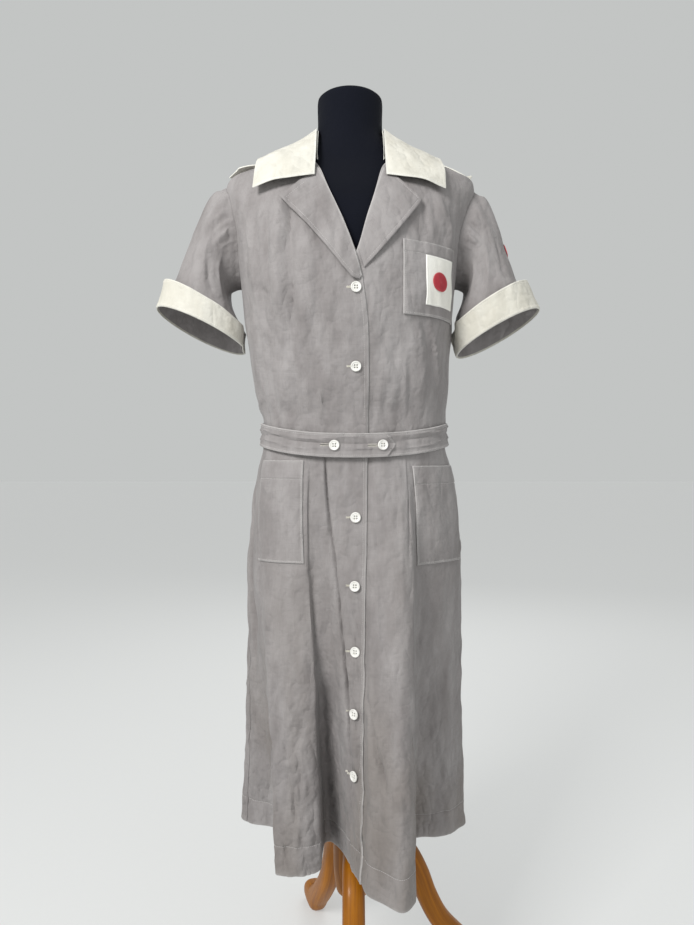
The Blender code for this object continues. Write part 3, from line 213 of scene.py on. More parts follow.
FRONT_FOLDS = rows_of(
    Crease,
    (-0.14, 1.24, -0.134, 1.07, 0.011, 0.0045), (-0.106, 1.25, -0.108, 1.03, 0.012, 0.006),
    (-0.07, 1.215, -0.076, 0.99, 0.012, 0.0045), (0.118, 1.25, 0.128, 1.175, 0.011, 0.0045),
    (0.088, 1.05, 0.104, 0.92, 0.012, 0.0035), (0.055, 1.0, 0.06, 0.92, 0.011, 0.003),
    (-0.112, 1.0, -0.1, 0.92, 0.011, 0.0035), (-0.045, 0.98, -0.044, 0.92, 0.01, 0.0025),
)
BACK_FOLDS = rows_of(
    Crease,
    (-0.118, 1.22, -0.102, 0.94, 0.013, 0.0045), (-0.07, 1.205, -0.062, 0.92, 0.012, 0.005),
    (-0.024, 1.08, -0.02, 0.92, 0.011, 0.003), (0.026, 1.06, 0.02, 0.92, 0.011, 0.0035),
    (0.074, 1.205, 0.06, 0.92, 0.012, 0.0045), (0.116, 1.215, 0.098, 0.94, 0.013, 0.004),
)
FRONT_CREASES = rows_of(
    Crease,
    (0.1072, 1.0669, 0.1391, 0.9147, 0.0028, 0.0024), (-0.1465, 1.25, -0.1275, 1.02, 0.0065, -0.0024),
    (-0.0921, 1.228, -0.084, 1.0, 0.007, -0.0024), (-0.111, 1.23, -0.104, 1.0, 0.006, 0.0018),
    (-0.16, 1.23, -0.1351, 1.0456, 0.0045, 0.0018), (-0.064, 1.2, -0.056, 1.03, 0.006, 0.0014),
    (-0.0454, 0.976, -0.0453, 0.898, 0.0016, 0.0012), (0.1121, 1.245, 0.1268, 1.172, 0.0045, -0.002),
    (0.123, 1.2442, 0.1475, 1.165, 0.004, 0.0018), (-0.1483, 0.903, -0.1387, 0.9625, 0.0026, 0.0014),
    (-0.1063, 0.898, -0.1018, 0.9634, 0.0024, 0.0014), (0.093, 1.056, 0.101, 0.985, 0.003, 0.0014),
    (0.112, 1.052, 0.116, 0.99, 0.0026, -0.0014), (-0.045, 0.968, -0.044, 0.905, 0.0022, 0.0013),
    (-0.126, 1.215, -0.122, 1.12, 0.0035, -0.0016), (-0.09, 1.232, -0.096, 1.12, 0.004, -0.0016),
    (-0.118, 1.19, -0.112, 1.085, 0.0032, 0.0014), (-0.056, 1.16, -0.036, 1.1, 0.0045, 0.0016),
    (-0.03, 1.06, -0.014, 1.01, 0.004, -0.0012), (-0.012, 1.03, -0.002, 0.998, 0.0035, 0.0013),
    (-0.002, 0.978, 0.016, 0.97, 0.0026, 0.0009), (0.062, 1.2, 0.066, 1.172, 0.003, 0.0014),
    (0.096, 1.235, 0.11, 1.18, 0.0035, -0.0018), (0.136, 1.235, 0.142, 1.17, 0.0035, 0.0018),
    (0.072, 1.0, 0.076, 0.908, 0.0036, 0.0016), (0.038, 0.985, 0.036, 0.904, 0.0034, 0.0012),
    (-0.066, 0.975, -0.064, 0.905, 0.003, 0.0013), (-0.086, 1.01, -0.08, 0.912, 0.0034, -0.0013),
    (-0.127, 0.99, -0.117, 0.915, 0.003, 0.0015), (0.128, 0.985, 0.132, 0.918, 0.003, -0.0012),
    (-0.14, 1.062, -0.118, 1.03, 0.004, 0.0014), (-0.148, 1.112, -0.112, 1.086, 0.0038, -0.0012),
)
BACK_CREASES = rows_of(
    Crease,
    (-0.142, 1.108, -0.104, 1.076, 0.0042, 0.0018), (-0.146, 1.082, -0.11, 1.04, 0.0036, -0.0014),
    (0.144, 1.104, 0.106, 1.07, 0.004, 0.0018), (0.14, 1.07, 0.1, 1.028, 0.0036, -0.0013),
    (-0.092, 1.01, -0.086, 0.912, 0.0034, 0.0016), (-0.044, 0.992, -0.04, 0.906, 0.003, 0.0014),
    (-0.004, 0.975, 0.0, 0.905, 0.003, -0.0012), (0.04, 1.0, 0.042, 0.906, 0.0032, 0.0015),
    (0.09, 0.985, 0.082, 0.91, 0.0034, -0.0013), (0.118, 1.0, 0.11, 0.915, 0.003, 0.0014),
    (-0.06, 1.248, -0.048, 1.19, 0.004, 0.0012), (0.052, 1.246, 0.046, 1.196, 0.004, -0.0012),
)


class SkirtFold(NamedTuple):
    """A line down the skirt: its angle at the waist, its place at the hem, how late it leaves the waist."""

    angle: float
    hem_x: float
    hem_y: float
    ease: float


SKIRT_FOLDS = rows_of(
    SkirtFold,
    (-176, -0.012, 0.142, 1.6), (-166, -0.046, 0.176, 1.0), (-153, -0.084, 0.136, 1.6),
    (-140, -0.122, 0.156, 1.0), (-126, -0.14, 0.108, 1.6), (-113, -0.176, 0.098, 1.0),
    (-103, -0.17, 0.066, 1.4), (-95, -0.183, 0.044, 1.0), (-88, -0.165, 0.026, 1.0),
    (-82, -0.129, 0.013, 2.0), (-78, -0.099, -0.022, 2.4), (-75, -0.101, -0.072, 2.0),
    (-71, -0.111, -0.115, 1.0), (-53, -0.08, -0.119, 1.0), (-35, -0.047, -0.103, 1.0),
    (-32.5, -0.046, -0.065, 1.3), (-30, -0.044, -0.034, 1.5), (-27, -0.0356, -0.029, 1.5),
    (-24, -0.0247, -0.041, 1.4), (-21, -0.0137, -0.064, 1.3), (-16, -0.0034, -0.098, 1.1),
    (-2, 0.0037, -0.1185, 1.0), (11, 0.0108, -0.1385, 1.0), (15, 0.018, -0.161, 1.0),
    (22, 0.0385, -0.179, 1.0), (32, 0.063, -0.199, 1.0), (39.5, 0.081, -0.179, 1.0),
    (42, 0.087, -0.11, 1.6), (45, 0.089, -0.042, 2.0), (49, 0.098, -0.017, 1.8), (58, 0.121, -0.016, 1.4),
    (69, 0.149, -0.01, 1.1), (79, 0.166, 0.007, 1.0), (90, 0.182, 0.028, 1.0), (98, 0.171, 0.062, 1.4),
    (108, 0.174, 0.098, 1.0), (121, 0.138, 0.104, 1.6), (134, 0.118, 0.156, 1.0), (147, 0.078, 0.134, 1.6),
    (161, 0.038, 0.178, 1.0), (172, 0.008, 0.152, 1.5),
)
BELTED = 0.028
HIP_ROWS = (0.0, BELTED, 0.085, 0.17, 0.30, 0.50, 0.75, 1.0)
HIP_SHARE = (0.0, 0.0, 0.45, 0.90, 1.0, 0.62, 0.18, 0.0)
HIP_SIDE = 0.016
HIP_BACK = 0.018
FORM_CLEAR = 0.0035
UNDERLAP_ANGLE = -12.0
SIDE_SEAM = 0.12
OVERLAP_ANGLE = 11.0

SKIRT_CREASES = rows_of(
    Crease,
    (-23.1, 0.875, -17.4, 0.7, 0.85, -0.0048), (-18.8, 0.745, -14.2, 0.61, 0.95, -0.005),
    (-15.9, 0.65, -9.8, 0.48, 1.1, -0.0042), (-12.4, 0.56, -8.5, 0.37, 1.3, -0.0036),
    (12.6, 0.52, 16.5, 0.48, 1.0, -0.004), (15.0, 0.5, 26.0, 0.385, 0.9, -0.0034),
    (-32.6, 0.85, -35.2, 0.64, 1.6, -0.003), (40.3, 0.86, 37.2, 0.69, 0.8, -0.0026),
    (-74.0, 0.855, -73.0, 0.56, 1.1, -0.005), (-85.5, 0.85, -86.5, 0.48, 1.3, -0.005),
    (-69.5, 0.822, -60.6, 0.798, 0.9, 0.002), (-61.5, 0.799, -54.5, 0.794, 0.8, -0.0016),
    (47.0, 0.7, 64.6, 0.742, 1.5, 0.0016), (52.0, 0.712, 74.0, 0.765, 1.2, -0.0016),
    (60.0, 0.722, 50.0, 0.8, 1.2, 0.0013), (-83.4, 0.488, -50.9, 0.562, 1.6, 0.0016),
    (-84.4, 0.436, -57.9, 0.444, 1.4, -0.0018), (-84.6, 0.336, -45.9, 0.505, 1.6, 0.0022),
    (-49.9, 0.324, -62.0, 0.4, 1.2, -0.0016), (51.5, 0.34, 71.5, 0.367, 1.4, 0.0024),
    (57.8, 0.309, 87.9, 0.367, 1.4, -0.0022), (13.0, 0.5, 27.0, 0.38, 1.0, -0.0022),
    (15.0, 0.505, 30.0, 0.395, 0.8, 0.0018), (-5.0, 0.62, 6.0, 0.56, 0.8, 0.0012),
    (-10.0, 0.64, -2.0, 0.59, 0.6, -0.0011), (-14.0, 0.585, -5.0, 0.52, 0.6, 0.0012),
    (-12.0, 0.545, 2.0, 0.47, 0.7, -0.0012), (-9.0, 0.455, 5.0, 0.395, 0.6, 0.0012),
    (-8.0, 0.4, 6.0, 0.33, 0.6, -0.0011), (-6.0, 0.8, 4.0, 0.79, 1.0, -0.001),
    (18.0, 0.7, 22.0, 0.48, 1.2, 0.0014), (24.0, 0.66, 27.0, 0.42, 0.9, -0.001),
    (14.5, 0.8, 20.0, 0.69, 1.0, -0.0014), (34.0, 0.8, 33.0, 0.6, 1.0, 0.001),
    (-60.0, 0.69, -68.0, 0.59, 1.2, 0.0018), (-48.0, 0.56, -58.0, 0.45, 1.1, 0.0013),
    (-62.0, 0.42, -46.0, 0.33, 1.2, -0.0015), (-44.0, 0.4, -54.0, 0.29, 1.0, 0.0014),
    (-66.0, 0.52, -60.0, 0.4, 0.9, -0.0011), (54.0, 0.48, 74.0, 0.4, 2.0, -0.0016),
    (62.0, 0.4, 78.0, 0.31, 1.6, 0.0022), (52.0, 0.36, 68.0, 0.29, 1.4, -0.0018),
    (72.0, 0.6, 66.0, 0.46, 1.6, 0.0012), (80.0, 0.42, 74.0, 0.29, 1.2, 0.0016),
    (100.0, 0.56, 112.0, 0.42, 1.6, -0.0014), (126.0, 0.46, 138.0, 0.32, 1.4, 0.0016),
    (150.0, 0.62, 160.0, 0.48, 1.4, -0.0012), (176.0, 0.52, 168.0, 0.36, 1.4, 0.0014),
    (-158.0, 0.58, -148.0, 0.43, 1.4, 0.0014), (-134.0, 0.47, -144.0, 0.33, 1.3, -0.0014),
    (-116.0, 0.56, -106.0, 0.4, 1.2, 0.0014), (-96.0, 0.66, -100.0, 0.48, 0.9, 0.0016),
    (-90.0, 0.7, -93.0, 0.45, 0.8, -0.0016),
)


class Gather(NamedTuple):
    """A small gather under the belt: its angle, how far down it runs, its half width and height."""

    angle: float
    low: float
    width: float
    height: float


WAIST_GATHERS = rows_of(
    Gather,
    (-84.0, 0.79, 1.6, 0.002), (-60.0, 0.845, 1.4, 0.0012), (-36.0, 0.76, 1.2, 0.0018),
    (-27.0, 0.8, 1.6, -0.0022), (16.0, 0.83, 1.3, 0.0012), (24.0, 0.8, 1.5, 0.0014),
    (33.0, 0.78, 1.4, 0.0012), (52.0, 0.85, 1.3, 0.0012), (66.0, 0.85, 1.4, 0.0014),
    (88.0, 0.77, 1.8, 0.002), (101.0, 0.74, 2.2, 0.0024), (113.0, 0.79, 1.9, 0.0018),
    (127.0, 0.73, 2.3, 0.0026), (141.0, 0.8, 1.8, 0.0016), (154.0, 0.74, 2.2, 0.0024),
    (168.0, 0.78, 2.0, 0.0018), (181.0, 0.735, 2.2, 0.0024), (194.0, 0.795, 1.8, 0.0018),
    (207.0, 0.74, 2.2, 0.0024), (221.0, 0.79, 1.8, 0.0016), (234.0, 0.735, 2.2, 0.0024),
    (248.0, 0.79, 1.9, 0.0018), (261.0, 0.75, 2.0, 0.0022),
)


class PatchSize(NamedTuple):
    """A piece sewn on: its sides in the chart, its real width, and its top band's depth."""

    name: str
    inner: float
    outer: float
    top: float
    low: float
    width: float
    band: float


CHEST_POCKET = PatchSize("chest_pocket", 0.069, 0.1475, 1.166, 1.061, 0.084, 0.0180)
CHEST_PATCH = PatchSize("chest_patch", 0.101, 0.141, 1.147, 1.077, 0.046, 0.0)
SKIRT_POCKETS = rows_of(
    PatchSize,
    ("skirt_pocket_right", -73.0, -38.0, 0.853, 0.703, 0.083, 0.0275),
    ("skirt_pocket_left", 43.5, 82.0, 0.845, 0.699, 0.09, 0.027),
)


class SleeveRing(NamedTuple):
    """A ring at the sleeve's end: its middle, half width, half depth and the tilt of its outer side."""

    x: float
    y: float
    z: float
    half_width: float
    half_depth: float
    tilt: float


SLEEVE_CREASES = rows_of(
    Crease,
    (70.0, 0.3, 96.0, 0.95, 6.0, 0.0022), (40.0, 0.42, 60.0, 0.98, 5.5, -0.0016),
    (112.0, 0.25, 128.0, 0.8, 5.5, 0.002), (14.0, 0.36, 22.0, 0.96, 6.0, 0.0014),
    (-24.0, 0.34, -34.0, 0.92, 6.0, -0.0014), (-62.0, 0.3, -84.0, 0.9, 6.0, 0.0022),
    (-104.0, 0.28, -124.0, 0.8, 5.5, 0.0018), (150.0, 0.2, 166.0, 0.75, 6.0, -0.0016),
    (86.0, 0.55, 112.0, 0.9, 4.5, -0.0012),
)


class CollarRow(NamedTuple):
    """A line across the collar on the wearer's left, from the roll beside the neck to its outer edge."""

    roll: tuple[float, float, float]
    middle: tuple[float, float, float]
    edge: tuple[float, float, float]


COLLAR = rows_of(
    CollarRow,
    ((0.051, -0.1, 1.268), (0.093, -0.103, 1.26), (0.1385, -0.09, 1.2515)),
    ((0.05, -0.071, 1.322), (0.097, -0.077, 1.301), (0.137, -0.072, 1.285)),
    ((0.0505, -0.032, 1.365), (0.094, -0.035, 1.334), (0.134, -0.03, 1.3175)),
    ((0.053, 0.012, 1.381), (0.094, 0.018, 1.346), (0.129, 0.024, 1.3235)),
    ((0.043, 0.046, 1.386), (0.078, 0.064, 1.348), (0.099, 0.076, 1.312)),
    ((0.0, 0.064, 1.387), (0.0, 0.088, 1.35), (0.0, 0.098, 1.3)),
)


class LapelRow(NamedTuple):
    """A line across a lapel from its roll to its free edge, in x and z on the front, from the foot upward."""

    roll_x: float
    roll_z: float
    free_x: float
    free_z: float


LAPEL_RIGHT = rows_of(
    LapelRow,
    (0.0108, 1.111, 0.007, 1.1055), (0.007, 1.126, -0.001, 1.1075), (0.0, 1.15, -0.013, 1.12),
    (-0.0228, 1.213, -0.0562, 1.174), (-0.053, 1.284, -0.1043, 1.231),
)
LAPEL_LEFT = rows_of(
    LapelRow,
    (0.006, 1.15, 0.0145, 1.122), (0.014, 1.181, 0.035, 1.144), (0.0233, 1.213, 0.056, 1.17),
    (0.034, 1.25, 0.076, 1.197), (0.0448, 1.284, 0.097, 1.226),
)


class ButtonPlace(NamedTuple):
    """A button down the front: its height and how far its shank holds it off the cloth."""

    height: float
    lift: float


BODICE_BUTTONS = rows_of(
    ButtonPlace,
    (1.095, 0.0003), (0.987, 0.0003),
)
SKIRT_BUTTONS = rows_of(
    ButtonPlace,
    (0.771, 0.0006), (0.673, 0.001), (0.579, 0.0008), (0.4915, 0.0019), (0.4035, 0.0017),
)
BELT_BUTTONS = (-0.0267, 0.0404)


class LegPoint(NamedTuple):
    """A place on a leg's middle line: its reach from the axis, its height and half its thickness there."""

    reach: float
    height: float
    half: float


LEG = rows_of(
    LegPoint,
    (0.0318, 0.237, 0.0185), (0.058, 0.237, 0.0185), (0.086, 0.222, 0.018), (0.107, 0.188, 0.017),
    (0.1215, 0.15, 0.0168), (0.142, 0.11, 0.0168), (0.174, 0.072, 0.0175), (0.208, 0.039, 0.019),
    (0.234, 0.019, 0.023), (0.259, 0.017, 0.0205), (0.269, 0.0165, 0.013),
)


class Ring(NamedTuple):
    """A round section: its height and its radius."""

    height: float
    radius: float


NECK_RINGS = rows_of(
    Ring,
    (1.365, 0.052), (1.385, 0.051), (1.415, 0.0515), (1.4225, 0.0508), (1.425, 0.048),
)
FORM_CLIMBS = (0.6, 0.625, 0.68, 0.75, 0.82, 0.885, 0.95, 1.02, 1.08, 1.14, 1.175, 1.205, 1.225, 1.243, 1.262,
               1.285, 1.31, 1.335)
HUB_RINGS = rows_of(
    Ring,
    (0.165, 0.018), (0.172, 0.026), (0.19, 0.029), (0.215, 0.031), (0.28, 0.031), (0.292, 0.027),
    (0.3, 0.02),
)


def curve(places: Array, values: Array, at: Array) -> Array:
    """A smooth curve through values at places that never overshoots, level past both ends.

    Args:
        places: Growing places.
        values: The value at each place.
        at: Where to read the curve.

    Returns:
        The curve's values there.
    """
    places = np.asarray(places, float)
    values = np.asarray(values, float)
    step = np.diff(places)
    slope = np.diff(values) / step
    lean = np.concatenate([slope[:1], np.zeros(len(slope) - 1), slope[-1:]])
    both = slope[:-1] * slope[1:]
    total = np.where(both > 0, slope[:-1] + slope[1:], 1.0)
    lean[1:-1] = np.where(both > 0, 2 * both / total, 0.0)
    at = np.clip(at, places[0], places[-1])
    k = np.clip(np.searchsorted(places, at, side="right") - 1, 0, len(step) - 1)
    t = (at - places[k]) / step[k]
    start = values[k] * (1 + 2 * t) * (1 - t) ** 2 + values[k + 1] * t * t * (3 - 2 * t)
    return start + step[k] * (lean[k] * t * (1 - t) ** 2 - lean[k + 1] * t * t * (1 - t))


def ramp(value: Array, start: float, end: float) -> Array:
    """0 before start, 1 after end, smooth between."""
    t = np.clip((value - start) / (end - start), 0.0, 1.0)
    return t * t * (3 - 2 * t)


def unit(vectors: Array) -> Array:
    """The same directions, one metre long."""
    return vectors / np.maximum(np.linalg.norm(vectors, axis=-1, keepdims=True), 1e-9)


def per_value(values: Array, work: Callable[[Array], Array]) -> Array:
    """Runs work once for each different value and spreads what it gives over the grid."""
    distinct, where = np.unique(values, return_inverse=True)
    return work(distinct)[where.reshape(values.shape)]


def ripple(points: Array, wavelength: float, seed: int) -> Array:
    """A seeded, uneven ripple over space, from about -1 to 1.

    Args:
        points: Places in space.
        wavelength: The middle length of its waves.
        seed: Which ripple it is.

    Returns:
        Its value at each place.
    """
    chance = np.random.default_rng(seed)
    total = np.zeros(points.shape[:-1])
    for _ in range(9):
        way = unit(chance.normal(size=3))
        length = wavelength * chance.uniform(0.6, 1.7)
        total += np.sin(points @ way * 2 * np.pi / length + chance.uniform(0, 2 * np.pi))
    return total / 3.6


def relief(creases: tuple[Crease, ...], a: Array, b: Array, b_scale: float = 1.0) -> Array:
    """How far creases stand out at places on a chart.

    Args:
        creases: The creases.
        a: First chart value, in which widths are given.
        b: Second chart value.
        b_scale: How many of a's units one of b's is worth.

    Returns:
        The height at each place.
    """
    total = np.zeros(np.broadcast(a, b).shape)
    for crease in creases:
        along = np.array([crease.to_a - crease.from_a, (crease.to_b - crease.from_b) * b_scale])
        length = np.hypot(*along)
        da, db = a - crease.from_a, (b - crease.from_b) * b_scale
        t = (da * along[0] + db * along[1]) / length**2
        off = (da * along[1] - db * along[0]) / length
        held = ramp(t, -0.08, 0.28) * (1 - ramp(t, 0.62, 1.05))
        total += crease.height * np.exp(-np.abs(off / crease.width) ** 1.5) * held
    return total


def scattered(count: int, seed: int, a_range: tuple, b_range: tuple, width: float, height: float,
              lean: float) -> tuple[Crease, ...]:
    """Small creases strewn over a chart, more of them toward its low end.

    Args:
        count: How many.
        seed: Which strewing it is.
        a_range: The first chart value's range.
        b_range: The second chart value's range, low end first.
        width: Their middle width.
        height: Their middle height.
        lean: How far they lean from upright, in the first value's units over its range.

    Returns:
        The creases.
    """
    chance = np.random.default_rng(seed)
    made = []
    for _ in range(count):
        a = chance.uniform(*a_range)
        b = b_range[0] + (b_range[1] - b_range[0]) * chance.uniform() ** 1.5
        long = chance.uniform(0.03, 0.09)
        off = chance.uniform(-lean, lean) * (a_range[1] - a_range[0]) * 0.25
        sign = chance.choice([-1.0, 1.0])
        made.append(Crease(a, b, a + off, b - long, width * chance.uniform(0.7, 1.5),
                           sign * height * chance.uniform(0.5, 1.4)))
    return tuple(made)


def soft_folds(folds: tuple[Crease, ...], x: Array, z: Array) -> Array:
    """The height of the wide folds that run up and down the bodice, at x and z."""
    total = np.zeros(x.shape)
    for fold in folds:
        run = fold.from_b - fold.to_b
        along = np.clip((z - fold.to_b) / run, 0.0, 1.0)
        middle = fold.to_a + (fold.from_a - fold.to_a) * along
        faded = 1 - ramp(z, fold.from_b - 0.18 * run, fold.from_b)
        held = ramp(z, fold.to_b, fold.to_b + 0.3 * run) * faded
        total += fold.height * np.exp(-(((x - middle) / fold.width) ** 2)) * held
    return total


def graded(length: float, rim: float, fine: float, coarse: float) -> Array:
    """Shares from 0 to 1 of a length, close together near both ends.

    Args:
        length: The whole length.
        rim: How far the close ones reach from each end.
        fine: Their spacing.
        coarse: The spacing between.

    Returns:
        The shares.
    """
    near = np.arange(0.0, rim, fine)
    spans = max(1, math.ceil((length - 2 * rim) / coarse))
    middle = np.linspace(rim, length - rim, spans + 1)
    return np.concatenate([near, middle, length - near[::-1]]) / length


def turned_edge(distance: Array, stitch: float) -> Array:
    """How a turned and topstitched edge stands out: round at the fold, full, then drawn in by the thread."""
    rounding = -0.0006 * (1 - np.clip(distance / 0.0012, 0, 1)) ** 2
    full = 0.0004 * ramp(distance, 0.0, 0.0012) * (1 - ramp(distance, stitch * 0.7, stitch * 1.8))
    drawn = -0.00045 * np.exp(-(((distance - stitch) / 0.0008) ** 2))
    return rounding + full + drawn


@dataclass(frozen=True)
class Torso:
    """A torso's surface through oval sections about the form's axis."""

    sections: tuple[Section, ...]

    def half_sizes(self, z: Array) -> tuple[Array, ...]:
        """Half widths to the right and left and half depths to the front and back at heights z."""
        table = np.array(self.sections)
        return tuple(curve(table[:, 0], table[:, k], z) for k in range(1, 5))

    def reach(self, points: Array, margin: float = 0.0) -> Array:
        """How far out points lie: below 1 inside the body grown by a margin, 1 on it."""
        x, y, z = points[..., 0], points[..., 1], points[..., 2]
        right, left, front, back = (half + margin for half in self.half_sizes(z))
        across = np.where(x < 0, -x / right, x / left)
        deep = np.where(y < 0, -y / front, y / back)
        return across**SQUARENESS + deep**SQUARENESS

    def cast(self, angle: Array, climb: Array) -> Array:
        """The surface at an angle and a climb.

        Args:
            angle: Degrees about the axis, 0 at the front, growing to the wearer's left.
            climb: Height up to CHEST, then the arc over the shoulder.

        Returns:
            Points on the body.
        """
        angle, climb = np.broadcast_arrays(np.radians(angle), np.asarray(climb, float))
        rise = np.maximum(climb - CHEST, 0.0) / ARC
        way = np.stack([np.sin(angle) * np.cos(rise), -np.cos(angle) * np.cos(rise), np.sin(rise)], axis=-1)
        start = np.zeros(way.shape)
        start[..., 2] = np.minimum(climb, CHEST)
        near = np.zeros(angle.shape)
        far = np.full(angle.shape, 0.45)
        for _ in range(26):
            half = (near + far) / 2
            outside = self.reach(start + way * half[..., None]) > 1
            far = np.where(outside, half, far)
            near = np.where(outside, near, half)
        return start + way * near[..., None]

    def outward(self, points: Array) -> Array:
        """The outward direction at points on the body."""
        sides = [self.reach(points + axis) - self.reach(points - axis) for axis in np.eye(3) * 2e-4]
        return unit(np.stack(sides, axis=-1))

    def clear_of(self, margin: float, points: Array, share: Array) -> Array:
        """Moves points that lie nearer the body than the margin out from its axis by a share of the way."""
        depth = self.reach(points, margin) ** (1 / SQUARENESS)
        grow = 1 + np.maximum(1 / np.maximum(depth, 0.2) - 1, 0.0) * share
        return points * np.stack([grow, grow, np.ones(grow.shape)], axis=-1)

    def chart(self, x: Array, z: Array) -> tuple[Array, Array]:
        """The angle and climb of the front at x and z."""
        x, z = np.asarray(x, float), np.asarray(z, float)
        right, left, front, _ = self.half_sizes(z)
        across = np.where(x < 0, -x / right, x / left)
        y = -front * np.maximum(1 - across**SQUARENESS, 0.0) ** (1 / SQUARENESS)
        rise = np.arctan2(z - CHEST, np.hypot(x, y))
        return np.degrees(np.arctan2(x, -y)), np.where(z > CHEST, CHEST + ARC * rise, z)


def waist_height(angle: Array) -> Array:
    """The waist seam dips at the front."""
    return WAIST - WAIST_SAG * np.maximum(np.cos(np.radians(angle)), 0.0) ** 1.5


def arc_lengths(grid: Array) -> tuple[Array, Array]:
    """Metres across and down a grid of points."""
    across = np.zeros(grid.shape[:2])
    down = np.zeros(grid.shape[:2])
    across[:, 1:] = np.cumsum(np.linalg.norm(np.diff(grid, axis=1), axis=-1), axis=1)
    down[1:] = np.cumsum(np.linalg.norm(np.diff(grid, axis=0), axis=-1), axis=0)
    return across, down


def grid_quads(rows: int, spans: int, columns: int) -> Array:
    """The point numbers of a grid's faces; its columns close up where spans equals columns."""
    i, j = np.meshgrid(np.arange(rows - 1), np.arange(spans), indexing="ij")
    corners = [(i, j), (i, j + 1), (i + 1, j + 1), (i + 1, j)]
    return np.stack([r * columns + c % columns for r, c in corners], -1).reshape(-1, 4)


@dataclass
class Wall:
    """A closed wall of cloth between an outer and an inner grid of points, rows by columns."""

    name: str
    outer: Array
    inner: Array
    ring: bool = False
    # Which edges are lightened, first and last row, first and last column: rubbing and a painted highlight
    # where the turned edge catches the light.
    worn_and_highlit: tuple[bool, bool, bool, bool] = (True, True, True, True)

    def closed(self) -> Array:
        """The outer grid, with its first column once more at the end of a ring."""
        return np.concatenate([self.outer, self.outer[:, :1]], axis=1) if self.ring else self.outer

    def flat_size(self) -> tuple[float, float, float]:
        """The width, length and area that the piece was cut to."""
        grid = self.closed()
        across, down = arc_lengths(grid)
        first, second = grid[1:, 1:] - grid[:-1, :-1], grid[1:, :-1] - grid[:-1, 1:]
        area = 0.5 * np.linalg.norm(np.cross(first, second), axis=-1).sum()
        return float(across[:, -1].max()), float(down[-1].max()), float(area)

    def build(self) -> bpy.types.Object:
        """The wall's mesh object, with the cloth's own metres as its UV map and a mask along its edges for
        rubbing and painted highlight.
        """
        rows, columns, _ = self.outer.shape
        spans = columns if self.ring else columns - 1
        back = rows * columns
        outer = grid_quads(rows, spans, columns)
        places = grid_quads(rows, spans, spans + 1)
        faces = [outer, outer[:, ::-1] + back]
        looks = [places, places[:, ::-1]]
        edge, side, last = np.arange(spans), np.arange(rows - 1), columns - 1
        rims = [(0, edge + 1, 0, edge), (rows - 1, edge, rows - 1, edge + 1)]
        if not self.ring:
            rims += [(side, 0, side + 1, 0), (side + 1, last, side, last)]
        for row, column, next_row, next_column in rims:
            a, b = row * columns + column % columns, next_row * columns + next_column % columns
            faces.append(np.stack([a, b, b + back, a + back], -1))
            a, b = row * (spans + 1) + column, next_row * (spans + 1) + next_column
            looks.append(np.stack([a, b, b, a], -1))
        points = np.concatenate([self.outer.reshape(-1, 3), self.inner.reshape(-1, 3)])
        made = mesh_object(self.name, points, np.concatenate(faces).tolist())
        across, down = arc_lengths(self.closed())
        metres = np.stack([across, down], -1).reshape(-1, 2)
        layer = made.data.uv_layers.new(name="cloth")
        layer.data.foreach_set("uv", metres[np.concatenate(looks).reshape(-1)].reshape(-1).astype(np.float32))
        self.wear(made.data, across[:, :columns], down[:, :columns])
        outward_faces(made.data)
        return made

    def wear(self, mesh: bpy.types.Mesh, across: Array, down: Array) -> None:
        """Writes how near each point is to the lightened edges, rubbed and given a painted highlight: first
        and last row, first and last column.
        """
        sides = (down, down[-1:] - down, across, across[:, -1:] - across)
        counted = [side for side, worn_and_highlit in zip(sides[: 2 if self.ring else 4], self.worn_and_highlit) if worn_and_highlit]
        near = np.minimum.reduce(counted) if counted else np.full(across.shape, 1.0)
        worn_and_highlit = np.exp(-near / WEAR_AND_HIGHLIGHT_REACH).reshape(-1)
        layer = mesh.attributes.new("wear", "FLOAT", "POINT")
        layer.data.foreach_set("value", np.concatenate([worn_and_highlit, worn_and_highlit]).astype(np.float32))


def mesh_object(name: str, points: Array, faces: list) -> bpy.types.Object:
    """A smooth-shaded mesh object at the form's axis.

    Args:
        name: The piece's name.
        points: Its points about the form's axis.
        faces: Its faces as lists of point numbers.

    Returns:
        The new object.
    """
    mesh = bpy.data.meshes.new(name)
    mesh.from_pydata((points + FORM_AXIS).tolist(), [], faces)
    made = bpy.data.objects.new(name, mesh)
    bpy.context.scene.collection.objects.link(made)
    return made


def outward_faces(mesh: bpy.types.Mesh, sharp: float = 50.0) -> None:
    """Turns all faces outward and shades them smooth but for edges sharper than an angle in degrees."""
    shape = bmesh.new()
    shape.from_mesh(mesh)
    bmesh.ops.recalc_face_normals(shape, faces=shape.faces)
    shape.to_mesh(mesh)
    shape.free()
    mesh.shade_smooth()
    mesh.set_sharp_from_angle(angle=math.radians(sharp))


